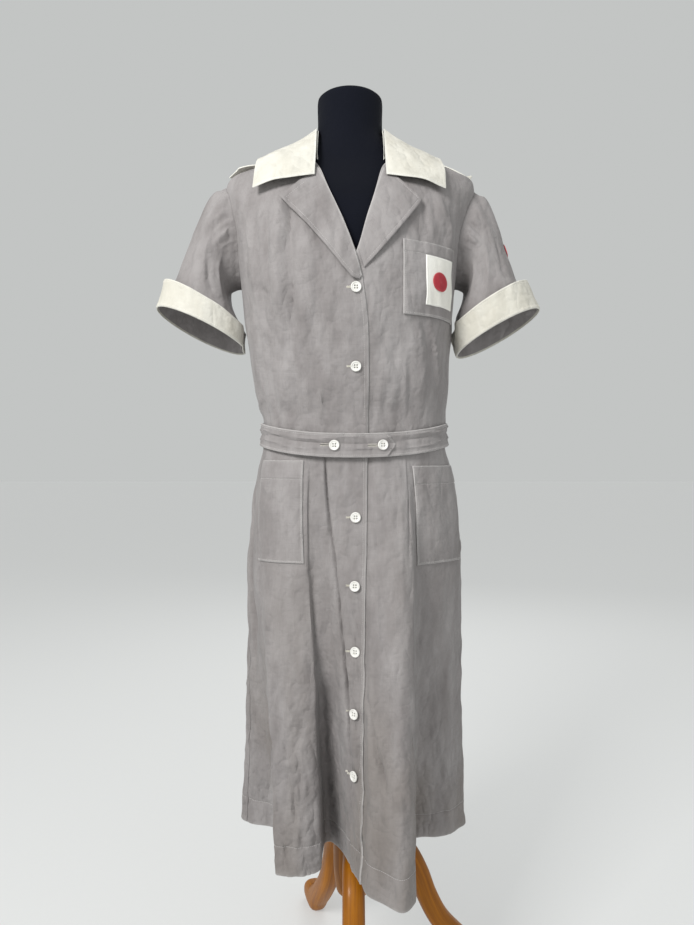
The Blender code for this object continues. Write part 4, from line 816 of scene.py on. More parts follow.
@dataclass
class Sewing:
    """Rows of stitches joined into one mesh."""

    name: str
    length: float = 0.0021
    pitch: float = 0.0031
    radius: float = 0.00042
    bars: list = field(default_factory=list)

    def row(self, points: Array, normals: Array) -> None:
        """Adds stitches along a line on a surface.

        Args:
            points: The line.
            normals: The surface's outward directions along it.
        """
        run = np.concatenate([[0.0], np.cumsum(np.linalg.norm(np.diff(points, axis=0), axis=1))])
        starts = np.arange(self.pitch * 0.3, run[-1] - self.length, self.pitch)
        at = starts[:, None] + np.array([0.0, 0.5, 1.0]) * self.length
        line = np.stack([np.interp(at, run, points[:, k]) for k in range(3)], -1)
        up = unit(np.stack([np.interp(at, run, normals[:, k]) for k in range(3)], -1))
        self.bars.append((line, up))

    def on(self, surface: Surface, a: Array, b: Array, out: float) -> None:
        """Adds a row along chart places of a surface, out metres from its inner face."""
        a, b = np.broadcast_arrays(np.asarray(a, float), np.asarray(b, float))
        points = surface(a, b, np.full(a.shape, out))
        above = surface(a, b, np.full(a.shape, out + 0.001))
        self.row(points, unit(above - points))

    def build(self) -> bpy.types.Object:
        """All the stitches as one object."""
        line = np.concatenate([bar[0] for bar in self.bars])
        up = np.concatenate([bar[1] for bar in self.bars])
        along = unit(line[:, 2] - line[:, 0])[:, None]
        side = unit(np.cross(along, up))
        thick = np.array([0.45, 1.0, 0.45])[None, :, None, None] * self.radius
        sink = np.array([-0.7, 0.35, -0.7])[None, :, None] * self.radius
        turn = np.radians(np.arange(5) * 72.0)[None, None, :, None]
        spokes = side[:, :, None] * np.cos(turn) + up[:, :, None] * np.sin(turn)
        ring = (line + up * sink)[:, :, None] + spokes * thick
        count = len(line)
        k = np.arange(5)
        after = (k + 1) % 5
        quads = np.concatenate([np.stack([r + k, r + after, r + 5 + after, r + 5 + k], -1) for r in (0, 5)])
        faces = (quads[None] + np.arange(count)[:, None, None] * 15).reshape(-1, 4).tolist()
        ends = np.stack([k[::-1], 10 + k])
        faces += (ends[None] + np.arange(count)[:, None, None] * 15).reshape(-1, 5).tolist()
        made = mesh_object(self.name, ring.reshape(-1, 3), faces)
        outward_faces(made.data)
        return made


class Term:
    """A shader socket's number; arithmetic on it adds Math nodes."""

    def __init__(self, tree: "ShaderTree", socket: bpy.types.NodeSocket) -> None:
        """Wraps a socket of a tree."""
        self.tree = tree
        self.socket = socket

    def _math(self, operation: str, *values: "Term | float") -> "Term":
        """A Math node on these values."""
        made = self.tree.node("ShaderNodeMath", {"operation": operation}, dict(enumerate(values)))
        return Term(self.tree, made.outputs[0])

    def __add__(self, other: "Term | float") -> "Term":
        """This plus other."""
        return self._math("ADD", self, other)

    __radd__ = __add__

    def __sub__(self, other: "Term | float") -> "Term":
        """This minus other."""
        return self._math("SUBTRACT", self, other)

    def __rsub__(self, other: float) -> "Term":
        """Other minus this."""
        return self._math("SUBTRACT", other, self)

    def __mul__(self, other: "Term | float") -> "Term":
        """This times other."""
        return self._math("MULTIPLY", self, other)

    __rmul__ = __mul__

    def sine(self) -> "Term":
        """Its sine."""
        return self._math("SINE", self)

    def absolute(self) -> "Term":
        """Its size without its sign."""
        return self._math("ABSOLUTE", self)

    def between(self, low: float, high: float) -> "Term":
        """0 below low and 1 above high, smooth between."""
        made = self.tree.node("ShaderNodeMapRange", {"interpolation_type": "SMOOTHSTEP"},
                              {"Value": self, "From Min": low, "From Max": high})
        return Term(self.tree, made.outputs[0])


class ShaderTree:
    """A material's nodes."""

    def __init__(self, name: str) -> None:
        """Starts a material with its shader and output."""
        self.material = bpy.data.materials.new(name)
        self.material.use_nodes = True
        self.tree = self.material.node_tree
        self.shader = self.tree.nodes["Principled BSDF"]

    def node(self, kind: str, settings: dict, sockets: dict) -> bpy.types.Node:
        """Adds a node.

        Args:
            kind: The node's type.
            settings: Its own settings, set first.
            sockets: Values or terms for its inputs, by name or number.

        Returns:
            The node.
        """
        made = self.tree.nodes.new(kind)
        for name, value in settings.items():
            setattr(made, name, value)
        for key, value in sockets.items():
            if isinstance(value, Term):
                self.tree.links.new(value.socket, made.inputs[key])
            else:
                made.inputs[key].default_value = value
        return made

    def term(self, kind: str, settings: dict, sockets: dict, output: str | int = 0) -> Term:
        """One output of a new node."""
        return Term(self, self.node(kind, settings, sockets).outputs[output])

    def place(self) -> Term:
        """The place on the object, in metres."""
        return self.term("ShaderNodeTexCoord", {}, {}, "Object")

    def stretched(self, vector: Term, scale: tuple[float, float, float]) -> Term:
        """A vector scaled on each axis."""
        return self.term("ShaderNodeVectorMath", {"operation": "MULTIPLY"}, {0: vector, 1: scale}, "Vector")

    def parts(self, vector: Term) -> tuple[Term, Term, Term]:
        """A vector's three numbers."""
        made = self.node("ShaderNodeSeparateXYZ", {}, {0: vector})
        return Term(self, made.outputs[0]), Term(self, made.outputs[1]), Term(self, made.outputs[2])

    def noise(self, vector: Term, scale: float, detail: float = 3.0, rough: float = 0.5) -> Term:
        """Noise from 0 to 1 over a vector."""
        return self.term("ShaderNodeTexNoise", {}, {"Vector": vector, "Scale": scale, "Detail": detail,
                                                    "Roughness": rough}, 0)

    def attribute(self, name: str) -> Term:
        """A number stored on the mesh."""
        return self.term("ShaderNodeAttribute", {"attribute_name": name}, {}, "Fac")

    def mix(self, first: Term | Colour, second: Term | Colour, factor: Term | float) -> Term:
        """Two colours mixed."""
        return self.term("ShaderNodeMix", {"data_type": "RGBA"}, {0: factor, 6: first, 7: second}, 2)

    def finish(self, colour: Term, roughness: Term | float, height: Term, depth: float,
               fixed: dict[str, float]) -> bpy.types.Material:
        """Links the shader.

        Args:
            colour: Base colour.
            roughness: Roughness.
            height: Height of the fine relief, from 0 to 1.
            depth: What a height of 1 is worth in metres.
            fixed: Values for the shader's other sockets.

        Returns:
            The finished material.
        """
        sockets = {"Strength": 1.0, "Distance": depth, "Height": height}
        bump = self.term("ShaderNodeBump", {}, sockets, "Normal")
        wanted = {"Base Color": colour, "Roughness": roughness, "Normal": bump, **fixed}
        for name, value in wanted.items():
            if isinstance(value, Term):
                self.tree.links.new(value.socket, self.shader.inputs[name])
            else:
                self.shader.inputs[name].default_value = value
        return self.material


@dataclass(frozen=True)
class ClothFinish:
    """Plain-woven cloth: its colours, its thread and how uneven it is."""

    name: str
    colour: Colour
    shade: Colour
    # Edge colour: rubbing and a painted highlight along the turned edges.
    worn_and_highlit: Colour
    # Colour towards the bottom: painted shade where less light reaches the lower cloth.
    low: Colour
    low_shade_share: float = 0.0
    thread: float = 0.0009
    crumple: float = 10.0
    soft: float = 4.0
    rough: float = 0.88
    sheen: float = 0.10

    def material(self) -> bpy.types.Material:
        """The cloth's material."""
        tree = ShaderTree(self.name)
        place = tree.place()
        thread = tree.term("ShaderNodeUVMap", {"uv_map": "cloth"}, {}, "UV")
        across, down, _ = tree.parts(thread)
        turns = 2 * math.pi / self.thread
        weave = (across * turns).sine() * (down * turns).sine() * 0.5 + 0.5
        warp = tree.noise(tree.stretched(thread, (900.0, 30.0, 1.0)), 1.0, 2.0)
        weft = tree.noise(tree.stretched(thread, (30.0, 900.0, 1.0)), 1.0, 2.0)
        slub = warp * 0.5 + weft * 0.5
        hanging = tree.stretched(place, (1.0, 1.0, 0.32))
        mottle = tree.noise(hanging, 30.0, 6.0, 0.62)
        cloud = tree.noise(hanging, 9.0, 3.0, 0.5)
        tone = (mottle * 0.60 + cloud * 0.40).between(0.33, 0.67)
        colour = tree.mix(self.shade, self.colour, tone)
        streak = (slub - 0.5) * 1.6 + 0.5
        colour = tree.mix(colour, self.shade, streak.between(0.42, 0.92) * 0.50)
        _, _, height = tree.parts(place)
        # Darker and browner towards the bottom, patchy with the cloud noise: painted shade where less light
        # reaches.
        lower = (1 - height.between(0.30, 0.88)) * cloud.between(0.38, 0.66) * self.low_shade_share
        colour = tree.mix(colour, self.low, lower)
        # Lightens the edges: rubbing and a painted highlight along the turned edges.
        colour = tree.mix(colour, self.worn_and_highlit, tree.attribute("wear") * 0.85)
        fine = tree.noise(place, 900.0, 3.0, 0.6)
        upright = tree.stretched(place, (1.0, 1.0, 0.45))
        lines = (tree.noise(upright, 26.0, 2.0, 0.55) - 0.5).absolute()
        crossing = (tree.noise(place, 44.0, 2.0, 0.5) - 0.5).absolute()
        swell = tree.noise(upright, 15.0, 2.0, 0.5)
        lower_more = 1 + (1 - height.between(0.30, 0.70)) * 0.7
        crumple = (lines * self.crumple + crossing * (self.crumple * 0.45)) * lower_more
        bump = weave * 0.09 + slub * 0.08 + fine * 0.04 + crumple + swell * (self.soft * 2.2)
        rough = self.rough + (mottle - 0.5) * 0.12
        return tree.finish(colour, rough, bump, 0.001,
                           {"Sheen Weight": self.sheen, "Sheen Roughness": 0.5, "Specular IOR Level": 0.25})


@dataclass(frozen=True)
class KnitFinish:
    """A fine black jersey with its ribs running up and down."""

    name: str
    colour: Colour
    lint: Colour
    loop: float = 0.0011

    def material(self) -> bpy.types.Material:
        """The jersey's material."""
        tree = ShaderTree(self.name)
        place = tree.place()
        thread = tree.term("ShaderNodeUVMap", {"uv_map": "cloth"}, {}, "UV")
        across, down, _ = tree.parts(thread)
        turns = 2 * math.pi / self.loop
        rib = (across * turns).sine() * 0.5 + 0.5
        loops = ((down * turns * 1.3).sine() * 0.5 + 0.5) * 0.4
        fluff = tree.noise(place, 420.0, 4.0, 0.7)
        colour = tree.mix(self.colour, self.lint, (fluff * 0.6 + rib * 0.4).between(0.45, 0.90) * 0.5)
        rough = 0.86 + (fluff - 0.5) * 0.1
        return tree.finish(colour, rough, rib * 0.5 + loops + fluff * 0.3, 0.0003,
                           {"Sheen Weight": 0.02, "Sheen Roughness": 0.45, "Specular IOR Level": 0.08})


@dataclass(frozen=True)
class WoodFinish:
    """Stained and varnished wood whose grain runs along its UV map."""

    name: str
    light: Colour
    dark: Colour
    worn_and_highlit: Colour

    def material(self) -> bpy.types.Material:
        """The wood's material."""
        tree = ShaderTree(self.name)
        place = tree.place()
        grain_place = tree.term("ShaderNodeUVMap", {"uv_map": "cloth"}, {}, "UV")
        streaks = tree.noise(tree.stretched(grain_place, (260.0, 9.0, 1.0)), 1.0, 4.0, 0.6)
        broad = tree.noise(tree.stretched(grain_place, (55.0, 3.0, 1.0)), 1.0, 2.0)
        pores = tree.noise(tree.stretched(grain_place, (1400.0, 60.0, 1.0)), 1.0, 2.0)
        tone = (streaks * 0.55 + broad * 0.45).between(0.34, 0.68)
        colour = tree.mix(self.dark, self.light, tone)
        colour = tree.mix(colour, self.dark, pores.between(0.58, 0.72) * 0.5)
        scuff = tree.noise(place, 120.0, 5.0, 0.65)
        _, _, height = tree.parts(place)
        at_foot = 1 - height.between(0.01, 0.05)
        colour = tree.mix(colour, self.worn_and_highlit, scuff.between(0.60, 0.72) * (0.15 + at_foot * 0.5))
        rough = 0.40 + scuff * 0.18
        return tree.finish(colour, rough, streaks * 0.4 + pores * 0.3 + scuff * 0.2, 0.00025,
                           {"Coat Weight": 0.10, "Coat Roughness": 0.16, "Specular IOR Level": 0.22})


@dataclass(frozen=True)
class SteelFinish:
    """A plain steel tube, brushed round."""

    name: str
    colour: Colour
    dull: Colour

    def material(self) -> bpy.types.Material:
        """The steel's material."""
        tree = ShaderTree(self.name)
        place = tree.place()
        brushed = tree.noise(tree.stretched(place, (30.0, 30.0, 1600.0)), 1.0, 3.0)
        stain = tree.noise(place, 60.0, 4.0, 0.6)
        colour = tree.mix(self.colour, self.dull, stain.between(0.45, 0.70) * 0.6)
        return tree.finish(colour, 0.28 + stain * 0.22, brushed, 0.00008, {"Metallic": 1.0})


@dataclass(frozen=True)
class ButtonFinish:
    """A milky moulded button with faint clouds in it."""

    name: str
    colour: Colour
    cloud: Colour

    def material(self) -> bpy.types.Material:
        """The button's material."""
        tree = ShaderTree(self.name)
        place = tree.place()
        clouds = tree.noise(place, 190.0, 4.0, 0.6)
        scratch = tree.noise(place, 1500.0, 2.0)
        colour = tree.mix(self.colour, self.cloud, clouds.between(0.42, 0.68))
        return tree.finish(colour, 0.26 + scratch * 0.16, scratch * 0.4 + clouds * 0.6, 0.00006,
                           {"Coat Weight": 0.25})


@dataclass(frozen=True)
class ThreadFinish:
    """Sewing thread, or a dark sheet of painted shadow, with the twist of its ply."""

    name: str
    colour: Colour
    shade: Colour

    def material(self) -> bpy.types.Material:
        """The thread's material."""
        tree = ShaderTree(self.name)
        place = tree.place()
        ply = tree.noise(place, 2600.0, 2.0)
        colour = tree.mix(self.shade, self.colour, ply.between(0.35, 0.65))
        return tree.finish(colour, 0.82, ply, 0.0001, {"Sheen Weight": 0.1})


@dataclass(frozen=True)
class FloorFinish:
    """A plain pale floor that glows enough to blend into the surroundings."""

    name: str
    colour: Colour
    glow: float = 0.82

    def material(self) -> bpy.types.Material:
        """The floor's material."""
        tree = ShaderTree(self.name)
        grain = tree.noise(tree.place(), 90.0, 3.0)
        darker = tuple(v * 0.97 for v in self.colour[:3]) + (1.0,)
        lit = {"Specular IOR Level": 0.1, "Emission Color": self.colour, "Emission Strength": self.glow}
        return tree.finish(tree.mix(darker, self.colour, grain), 0.9, grain, 0.0001, lit)


class Look(Enum):
    """Each finish that a piece can be given."""

    DRESS = ClothFinish("dress_cotton", (0.322, 0.305, 0.303, 1), (0.210, 0.194, 0.191, 1),
                        (0.50, 0.485, 0.475, 1), (0.150, 0.128, 0.110, 1), 0.65)
    WHITE = ClothFinish("white_cotton", (0.675, 0.662, 0.600, 1), (0.555, 0.533, 0.462, 1),
                        (0.73, 0.72, 0.665, 1), (0.555, 0.533, 0.462, 1), 0.0, 0.0008, 9.0, 4.0, 0.86)
    BADGE = ClothFinish("badge_cotton", (0.84, 0.83, 0.78, 1), (0.75, 0.735, 0.67, 1),
                        (0.88, 0.875, 0.84, 1), (0.75, 0.735, 0.67, 1), 0.0, 0.0007, 4.0, 1.5, 0.86)
    RED = ClothFinish("red_felt", (0.44, 0.034, 0.050, 1), (0.33, 0.024, 0.036, 1),
                      (0.50, 0.08, 0.09, 1), (0.33, 0.024, 0.036, 1), 0.0, 0.0007, 2.0, 0.6, 0.92)
    JERSEY = KnitFinish("black_jersey", (0.0048, 0.0058, 0.0105, 1), (0.014, 0.016, 0.024, 1))
    WOOD = WoodFinish("stained_wood", (0.38, 0.135, 0.002, 1), (0.21, 0.066, 0.0012, 1),
                      (0.34, 0.18, 0.04, 1))
    STEEL = SteelFinish("steel_tube", (0.50, 0.50, 0.51, 1), (0.30, 0.29, 0.28, 1))
    BUTTON = ButtonFinish("milky_button", (0.78, 0.77, 0.74, 1), (0.66, 0.65, 0.61, 1))
    THREAD = ThreadFinish("grey_thread", (0.56, 0.545, 0.535, 1), (0.44, 0.425, 0.415, 1))
    WHITE_THREAD = ThreadFinish("white_thread", (0.84, 0.82, 0.75, 1), (0.66, 0.64, 0.57, 1))
    SLIT = ThreadFinish("slit_shadow", (0.030, 0.028, 0.028, 1), (0.018, 0.017, 0.017, 1))
    FLOOR = FloorFinish("pale_floor", (0.40, 0.405, 0.402, 1))


@dataclass
class Workroom:
    """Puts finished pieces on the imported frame."""

    made: dict[Look, bpy.types.Material] = field(default_factory=dict)

    def material(self, look: Look) -> bpy.types.Material:
        """The one material of a look."""
        if look not in self.made:
            self.made[look] = look.value.material()
        return self.made[look]

    def add(self, piece: bpy.types.Object, look: Look, slot: Slot, *nodes: str) -> bpy.types.Object:
        """Dresses a piece and hangs it on the frame.

        Args:
            piece: The finished object.
            look: Its finish.
            slot: A material slot name. Not used.
            nodes: The solids that it stands for.

        Returns:
            The same object.
        """
        piece.data.materials.clear()
        piece.data.materials.append(self.material(look))
        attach(piece, BODY_NAME)
        if nodes:
            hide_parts(*nodes)
        stands_for = ", ".join(nodes) or "sewing"
        LOG.info("%s: %d faces, stands for %s", piece.name, len(piece.data.polygons), stands_for)
        return piece

    def cloth(self, wall: Wall, look: Look, slot: Slot, held: str, rests_on: list[str]) -> None:
        """Adds a wall of cloth that stands for the solid of its own name.

        Args:
            wall: The cloth.
            look: Its finish.
            slot: A material slot name. Not used.
            held: How the cloth is held. Not used.
            rests_on: What it lies on or hangs from. Not used.
        """
        made = wall.build()
        made.name = f"{wall.name}_cloth"
        self.add(made, look, slot, wall.name)
        width, length, area = wall.flat_size()
        area = min(area, width * length)


@dataclass
class Bodice:
    """The two fronts and the back, with the lapels, the chest pocket and its badge."""

    room: Workroom
    body: Torso
    side_share: float = 0.60
    lapel_spring: float = 0.0050
    lapel_belly: float = 0.0046
    lapel_width: float = 0.055
    lapel_length: float = 0.17
    lapel_stitch: float = 0.0050
    disc_radius: float = 0.0135
    disc_turned: float = 0.82
    front_width: float = 0.21
    placket_stitch: float = 0.0065
    placket_ends: tuple[float, float] = (0.914, 1.100)
    crease_scale: float = 2.0
    small: tuple = field(default_factory=lambda: scattered(
        90, 11, (-0.17, 0.17), (0.92, 1.24), 0.0034, 0.0007, 0.25))
    sewing: Sewing = field(default_factory=lambda: Sewing("bodice_stitches"))

    def relief(self, points: Array) -> Array:
        """How far folds and creases stand out at points on the body."""
        x, z = points[..., 0], points[..., 2]
        front = soft_folds(FRONT_FOLDS, x, z) + self.crease_scale * relief(FRONT_CREASES + self.small, x, z)
        back = soft_folds(BACK_FOLDS, x, z) + self.crease_scale * relief(BACK_CREASES + self.small, x, z)
        uneven = 0.0008 * ripple(points, 0.055, 3) * ramp(np.abs(z - 0.885), 0.02, 0.06)
        return np.where(points[..., 1] < 0, front, back) + uneven

    def point(self, angle: Array, climb: Array, out: Array) -> Array:
        """Places on the bodice, out metres from the inner face of its cloth."""
        points = self.body.cast(angle, climb)
        return points + self.body.outward(points) * (self.relief(points) + out)[..., None]

    def armhole(self, side: Side, turn: Array) -> tuple[Array, Array]:
        """Angle and climb of the armhole at a turn about the arm: 0 on the shoulder, 90 at the front."""
        table = np.array(ARMHOLE)
        turn = np.mod(turn, 360.0)
        return side.value * curve(table[:, 0], table[:, 2], turn), curve(table[:, 0], table[:, 1], turn)

    def lap_lift(self, side: Side, angle: Array, climb: Array) -> Array:
        """The wearer's right front lies over the left one down the middle."""
        if side is Side.LEFT:
            return np.zeros(np.shape(angle))
        x = self.body.cast(angle, climb)[..., 0]
        low_enough = 1 - ramp(climb, CHEST + 0.02, CHEST + 0.06)
        return OVERLAP_LIFT * ramp(x, -0.050, -0.022) * low_enough

    def front(self, side: Side) -> Surface:
        """Places on a front by x and z, out metres from its inner face."""

        def at(x: Array, z: Array, out: Array) -> Array:
            """The front's surface."""
            angle, climb = self.body.chart(x, z)
            return self.point(angle, climb, out + self.lap_lift(side, angle, climb))

        return at

    def patch_chart(self, edges: tuple[Callable, ...], across: Array, up: Array) -> list[Array]:
        """Angle and climb of a four-sided piece.

        Args:
            edges: Its low, top, inner and outer edges, functions of a share from 0 to 1.
            across: Shares from the inner to the outer edge.
            up: Shares from the low to the top edge.

        Returns:
            The two chart values.
        """
        low, top, inner, outer = edges
        u, v = np.meshgrid(across, up)
        places = []
        for k in (0, 1):
            rise = v**3
            sides = (1 - rise) * low(u)[k] + rise * top(u)[k] + (1 - u) * inner(v)[k] + u * outer(v)[k]
            corners = (1 - u) * (1 - rise) * low(np.zeros(1))[k] + u * (1 - rise) * low(np.ones(1))[k]
            corners = corners + (1 - u) * rise * top(np.zeros(1))[k] + u * rise * top(np.ones(1))[k]
            places.append(sides - corners)
        return places

    def side_edge(self, side: Side, first_turn: float, last_turn: float) -> Callable:
        """The side seam from the waist to the underarm and on round the armhole to the shoulder."""

        def at(share: Array) -> tuple[Array, Array]:
            """Angle and climb along it."""
            low = waist_height(90.0) + WAIST_GAP
            seam = low + (UNDERARM - low) * np.clip(share / self.side_share, 0, 1)
            past = np.clip((share - self.side_share) / (1 - self.side_share), 0, 1)
            angle, climb = self.armhole(side, first_turn + (last_turn - first_turn) * past)
            on_seam = share <= self.side_share
            return np.where(on_seam, side.value * 90.0, angle), np.where(on_seam, seam, climb)

        return at

    def through(self, shares: Array, rows: Array) -> Callable:
        """A path on the chart through rows of angle and climb."""
        table = np.array(rows, float)
        return lambda share: (curve(shares, table[:, 0], share), curve(shares, table[:, 1], share))

    def up_shares(self) -> Array:
        """Rows up a panel, with one exactly at the underarm."""
        return np.concatenate([np.linspace(0, self.side_share, 58), np.linspace(self.side_share, 1, 48)[1:]])

    def front_wall(self, side: Side, name: str) -> Wall:
        """One front, from its inner edge to the side seam and the armhole."""
        edge = OVERLAP_FRONT if side is Side.RIGHT else UNDERLAP_FRONT
        rows = [tuple(float(v) for v in self.body.chart(place.x, place.z)) for place in edge]
        rows.append((side.value * 90.0, NECK_CLIMB))
        inner = self.through([place.share for place in edge] + [1.0], rows)
        start, foot = (float(v) for v in inner(np.array(0.0)))

        def low(share: Array) -> tuple[Array, Array]:
            """The waist seam."""
            angle = start + (side.value * 90.0 - start) * share
            height = waist_height(angle) + WAIST_GAP
            return angle, height + (foot - height) * (share == 0)

        def top(share: Array) -> tuple[Array, Array]:
            """The shoulder seam."""
            return side.value * 90.0 + 0.0 * share, NECK_CLIMB + (SHOULDER_CLIMB - NECK_CLIMB) * share

        across = np.concatenate([np.linspace(0, 0.05, 15), np.linspace(0.05, 1, 64)[1:]])
        up = self.up_shares()
        edges = (low, top, inner, self.side_edge(side, 180.0, 0.0))
        angle, climb = self.patch_chart(edges, across, up)
        below_roll = 1 - ramp(up, 0.46, 0.52)[:, None]
        trim = turned_edge(across[None] * self.front_width, self.placket_stitch) * below_roll
        lift = self.lap_lift(side, angle, climb)
        faces = [self.apart(self.point(angle, climb, out + lift), -1) for out in (CLOTH + trim, 0.0)]
        return Wall(name, *faces, worn_and_highlit=(False, False, True, False))

    def apart(self, points: Array, way: int) -> Array:
        """Moves the side and shoulder edges half a seam's gap forward or back."""
        points[-1, :, 1] += way * SEAM * 0.7
        points[:-1, -1, 1] += way * SEAM * 0.7
        return points

    def back_wall(self) -> Wall:
        """The back, one piece from side seam to side seam."""
        faces = []
        for out in (CLOTH, 0.0):
            halves = []
            for side in (Side.LEFT, Side.RIGHT):
                turn = side.value

                def low(share: Array, turn: int = turn) -> tuple[Array, Array]:
                    """The waist seam."""
                    angle = turn * (180.0 - 90.0 * share)
                    return angle, waist_height(angle) + WAIST_GAP

                def inner(share: Array, turn: int = turn) -> tuple[Array, Array]:
                    """The middle of the back."""
                    start = waist_height(180.0) + WAIST_GAP
                    return turn * 180.0 + 0.0 * share, start + (NECK_CLIMB - start) * share

                neck = [(turn * angle, NECK_CLIMB) for angle in (180.0, 112.0, 90.0)]
                top = self.through([0.0, 0.30, 0.42, 1.0], neck + [(turn * 90.0, SHOULDER_CLIMB)])
                edges = (low, top, inner, self.side_edge(side, 180.0, 360.0 - 1e-6))
                angle, climb = self.patch_chart(edges, np.linspace(0, 1, 60), self.up_shares())
                halves.append(self.apart(self.point(angle, climb, np.full(angle.shape, out)), 1))
            faces.append(np.concatenate([halves[0][:, ::-1], halves[1][:, 1:]], axis=1))
        return Wall("bodice_back", *faces, worn_and_highlit=(False, False, False, False))

    def build(self) -> None:
        """Makes every piece of the bodice."""
        for side, name in ((Side.RIGHT, "bodice_front_right"), (Side.LEFT, "bodice_front_left")):
            self.room.cloth(self.front_wall(side, name), Look.DRESS, Slot.DRESS, "hung", ["form_torso"])
        self.room.cloth(self.back_wall(), Look.DRESS, Slot.DRESS, "hung", ["form_torso"])
        self.lapel("lapel_right", Side.RIGHT, LAPEL_RIGHT)
        self.lapel("lapel_left", Side.LEFT, LAPEL_LEFT)
        self.chest_pocket()
        self.placket_sewing()
        self.room.add(self.sewing.build(), Look.THREAD, Slot.DRESS)

    def placket_sewing(self) -> None:
        """The row of stitches beside the overlapping edge, up to the lapel's foot."""
        table = np.array(OVERLAP_FRONT)
        z = np.linspace(*self.placket_ends, 120)
        x = curve(table[:, 2], table[:, 1], z) - self.placket_stitch
        self.sewing.on(self.front(Side.RIGHT), x, z, CLOTH)

    def lapel(self, name: str, side: Side, rows: tuple[LapelRow, ...]) -> None:
        """A facing that lies on its front and springs off it at the tip, with a stitched edge."""
        table = np.array(rows)
        shares = np.linspace(0, 1, len(table))

        def at(across: Array, up: Array, out: Array) -> Array:
            """The lapel's surface by shares from roll to free edge and from foot to tip."""
            roll_x, roll_z, free_x, free_z = (curve(shares, table[:, k], up) for k in range(4))
            x = roll_x + (free_x - roll_x) * across
            z = roll_z + (free_z - roll_z) * across
            belly = self.lapel_belly * np.sin(np.pi * up) * across
            spring = LAID_ON + self.lapel_spring * across * up**2 + belly
            return self.front(side)(x, z, CLOTH + spring + out)

        across, up = np.meshgrid(graded(self.lapel_width, 0.008, 0.0009, 0.003),
                                 graded(self.lapel_length, 0.008, 0.0009, 0.0035))
        width = np.hypot(table[:, 2] - table[:, 0], table[:, 3] - table[:, 1])
        to_free = (1 - across) * curve(shares, width, up)
        to_top = (1 - up) * self.lapel_length
        trim = turned_edge(np.minimum(to_free, to_top), self.lapel_stitch)
        faces = [at(across, up, DOUBLED + trim), at(across, up, 0.0 * up)]
        wall = Wall(name, *faces, worn_and_highlit=(False, False, True, False))
        under = name.replace("lapel", "bodice_front") + "_cloth"
        self.room.cloth(wall, Look.DRESS, Slot.DRESS, "folded", [under])
        line = np.linspace(0.06, 0.965, 90)
        inset = 1 - self.lapel_stitch / np.maximum(curve(shares, width, line), 0.006)
        self.sewing.on(at, inset, line, DOUBLED)
        below_top = 1 - self.lapel_stitch / self.lapel_length
        self.sewing.on(at, np.linspace(0.93, 0.10, 40), below_top, DOUBLED)

    def chest_pocket(self) -> None:
        """A patch pocket with a top band, a white patch on it and a plain round badge on that."""
        front = self.front(Side.LEFT)
        size = CHEST_POCKET
        base = CLOTH + LAID_ON + SEWN_ON
        wall = patch_wall(size, front, base, CLOTH)
        self.room.cloth(wall, Look.DRESS, Slot.DRESS, "laid", ["bodice_front_left_cloth"])
        pocket_stitches(self.sewing, size, front, base + CLOTH)
        patch_base = base + CLOTH + LAID_ON
        patch = patch_wall(CHEST_PATCH, front, patch_base, BADGE_THICK)
        self.room.cloth(patch, Look.BADGE, Slot.WHITE, "laid", ["chest_pocket_cloth"])
        middle_x = (CHEST_PATCH.inner + CHEST_PATCH.outer) / 2
        middle_z = (CHEST_PATCH.top + CHEST_PATCH.low) / 2

        def at(across: Array, up: Array, out: Array) -> Array:
            """The badge's surface by metres from its middle."""
            x = middle_x + across * self.disc_turned
            return front(x, middle_z + up, patch_base + BADGE_THICK + LAID_ON + out)

        round_badge(self.room, "chest_disc", self.disc_radius, at)


def patch_wall(size: PatchSize, surface: Surface, base: float, thick: float) -> Wall:
    """A sewn-on piece cut from the surface under it, with turned edges and a band across its top."""
    height = size.top - size.low
    across, up = np.meshgrid(graded(size.width, 0.007, 0.0008, 0.0035), graded(height, 0.007, 0.0008, 0.0035))
    extra = np.array([-0.0016, -0.0008, 0.0, 0.0008, 0.0016]) / height
    if size.band:
        rows = np.sort(np.concatenate([up[:, 0], 1 - size.band / height + extra]))
        across, up = np.meshgrid(across[0], rows)
    a = size.inner + (size.outer - size.inner) * across
    b = size.low + height * up
    to_side = np.minimum(across, 1 - across) * size.width
    to_end = np.minimum(up, 1 - up) * height
    trim = turned_edge(np.minimum(to_side, to_end), PATCH_STITCH)
    if size.band:
        below = height * (1 - up) - size.band
        trim = trim - 0.0005 * np.exp(-((below / 0.0009) ** 2)) + 0.0003 * (1 - ramp(below, -0.0012, 0.0))
        slack = np.sin(np.pi * np.clip(up, 0, 1)) * np.sin(np.pi * across)
        trim = trim + 0.0006 * slack * (1 + ripple(np.stack([a, b, 0 * a], -1), 0.05, 8))
    return Wall(size.name, surface(a, b, base + thick + trim), surface(a, b, base + 0.0 * trim))


def pocket_stitches(sewing: Sewing, size: PatchSize, surface: Surface, out: float) -> None:
    """Stitches down both sides, along the foot and under the band of a pocket."""
    height = size.top - size.low
    side = PATCH_STITCH / size.width * (size.outer - size.inner)
    up = np.linspace(size.low + PATCH_STITCH, size.top - 0.001, 80)
    wide = np.linspace(size.inner + side, size.outer - side, 60)
    for a in (size.inner + side, size.outer - side):
        sewing.on(surface, a, up, out)
    sewing.on(surface, wide, size.low + PATCH_STITCH, out)
    sewing.on(surface, wide, size.low + height - size.band, out)


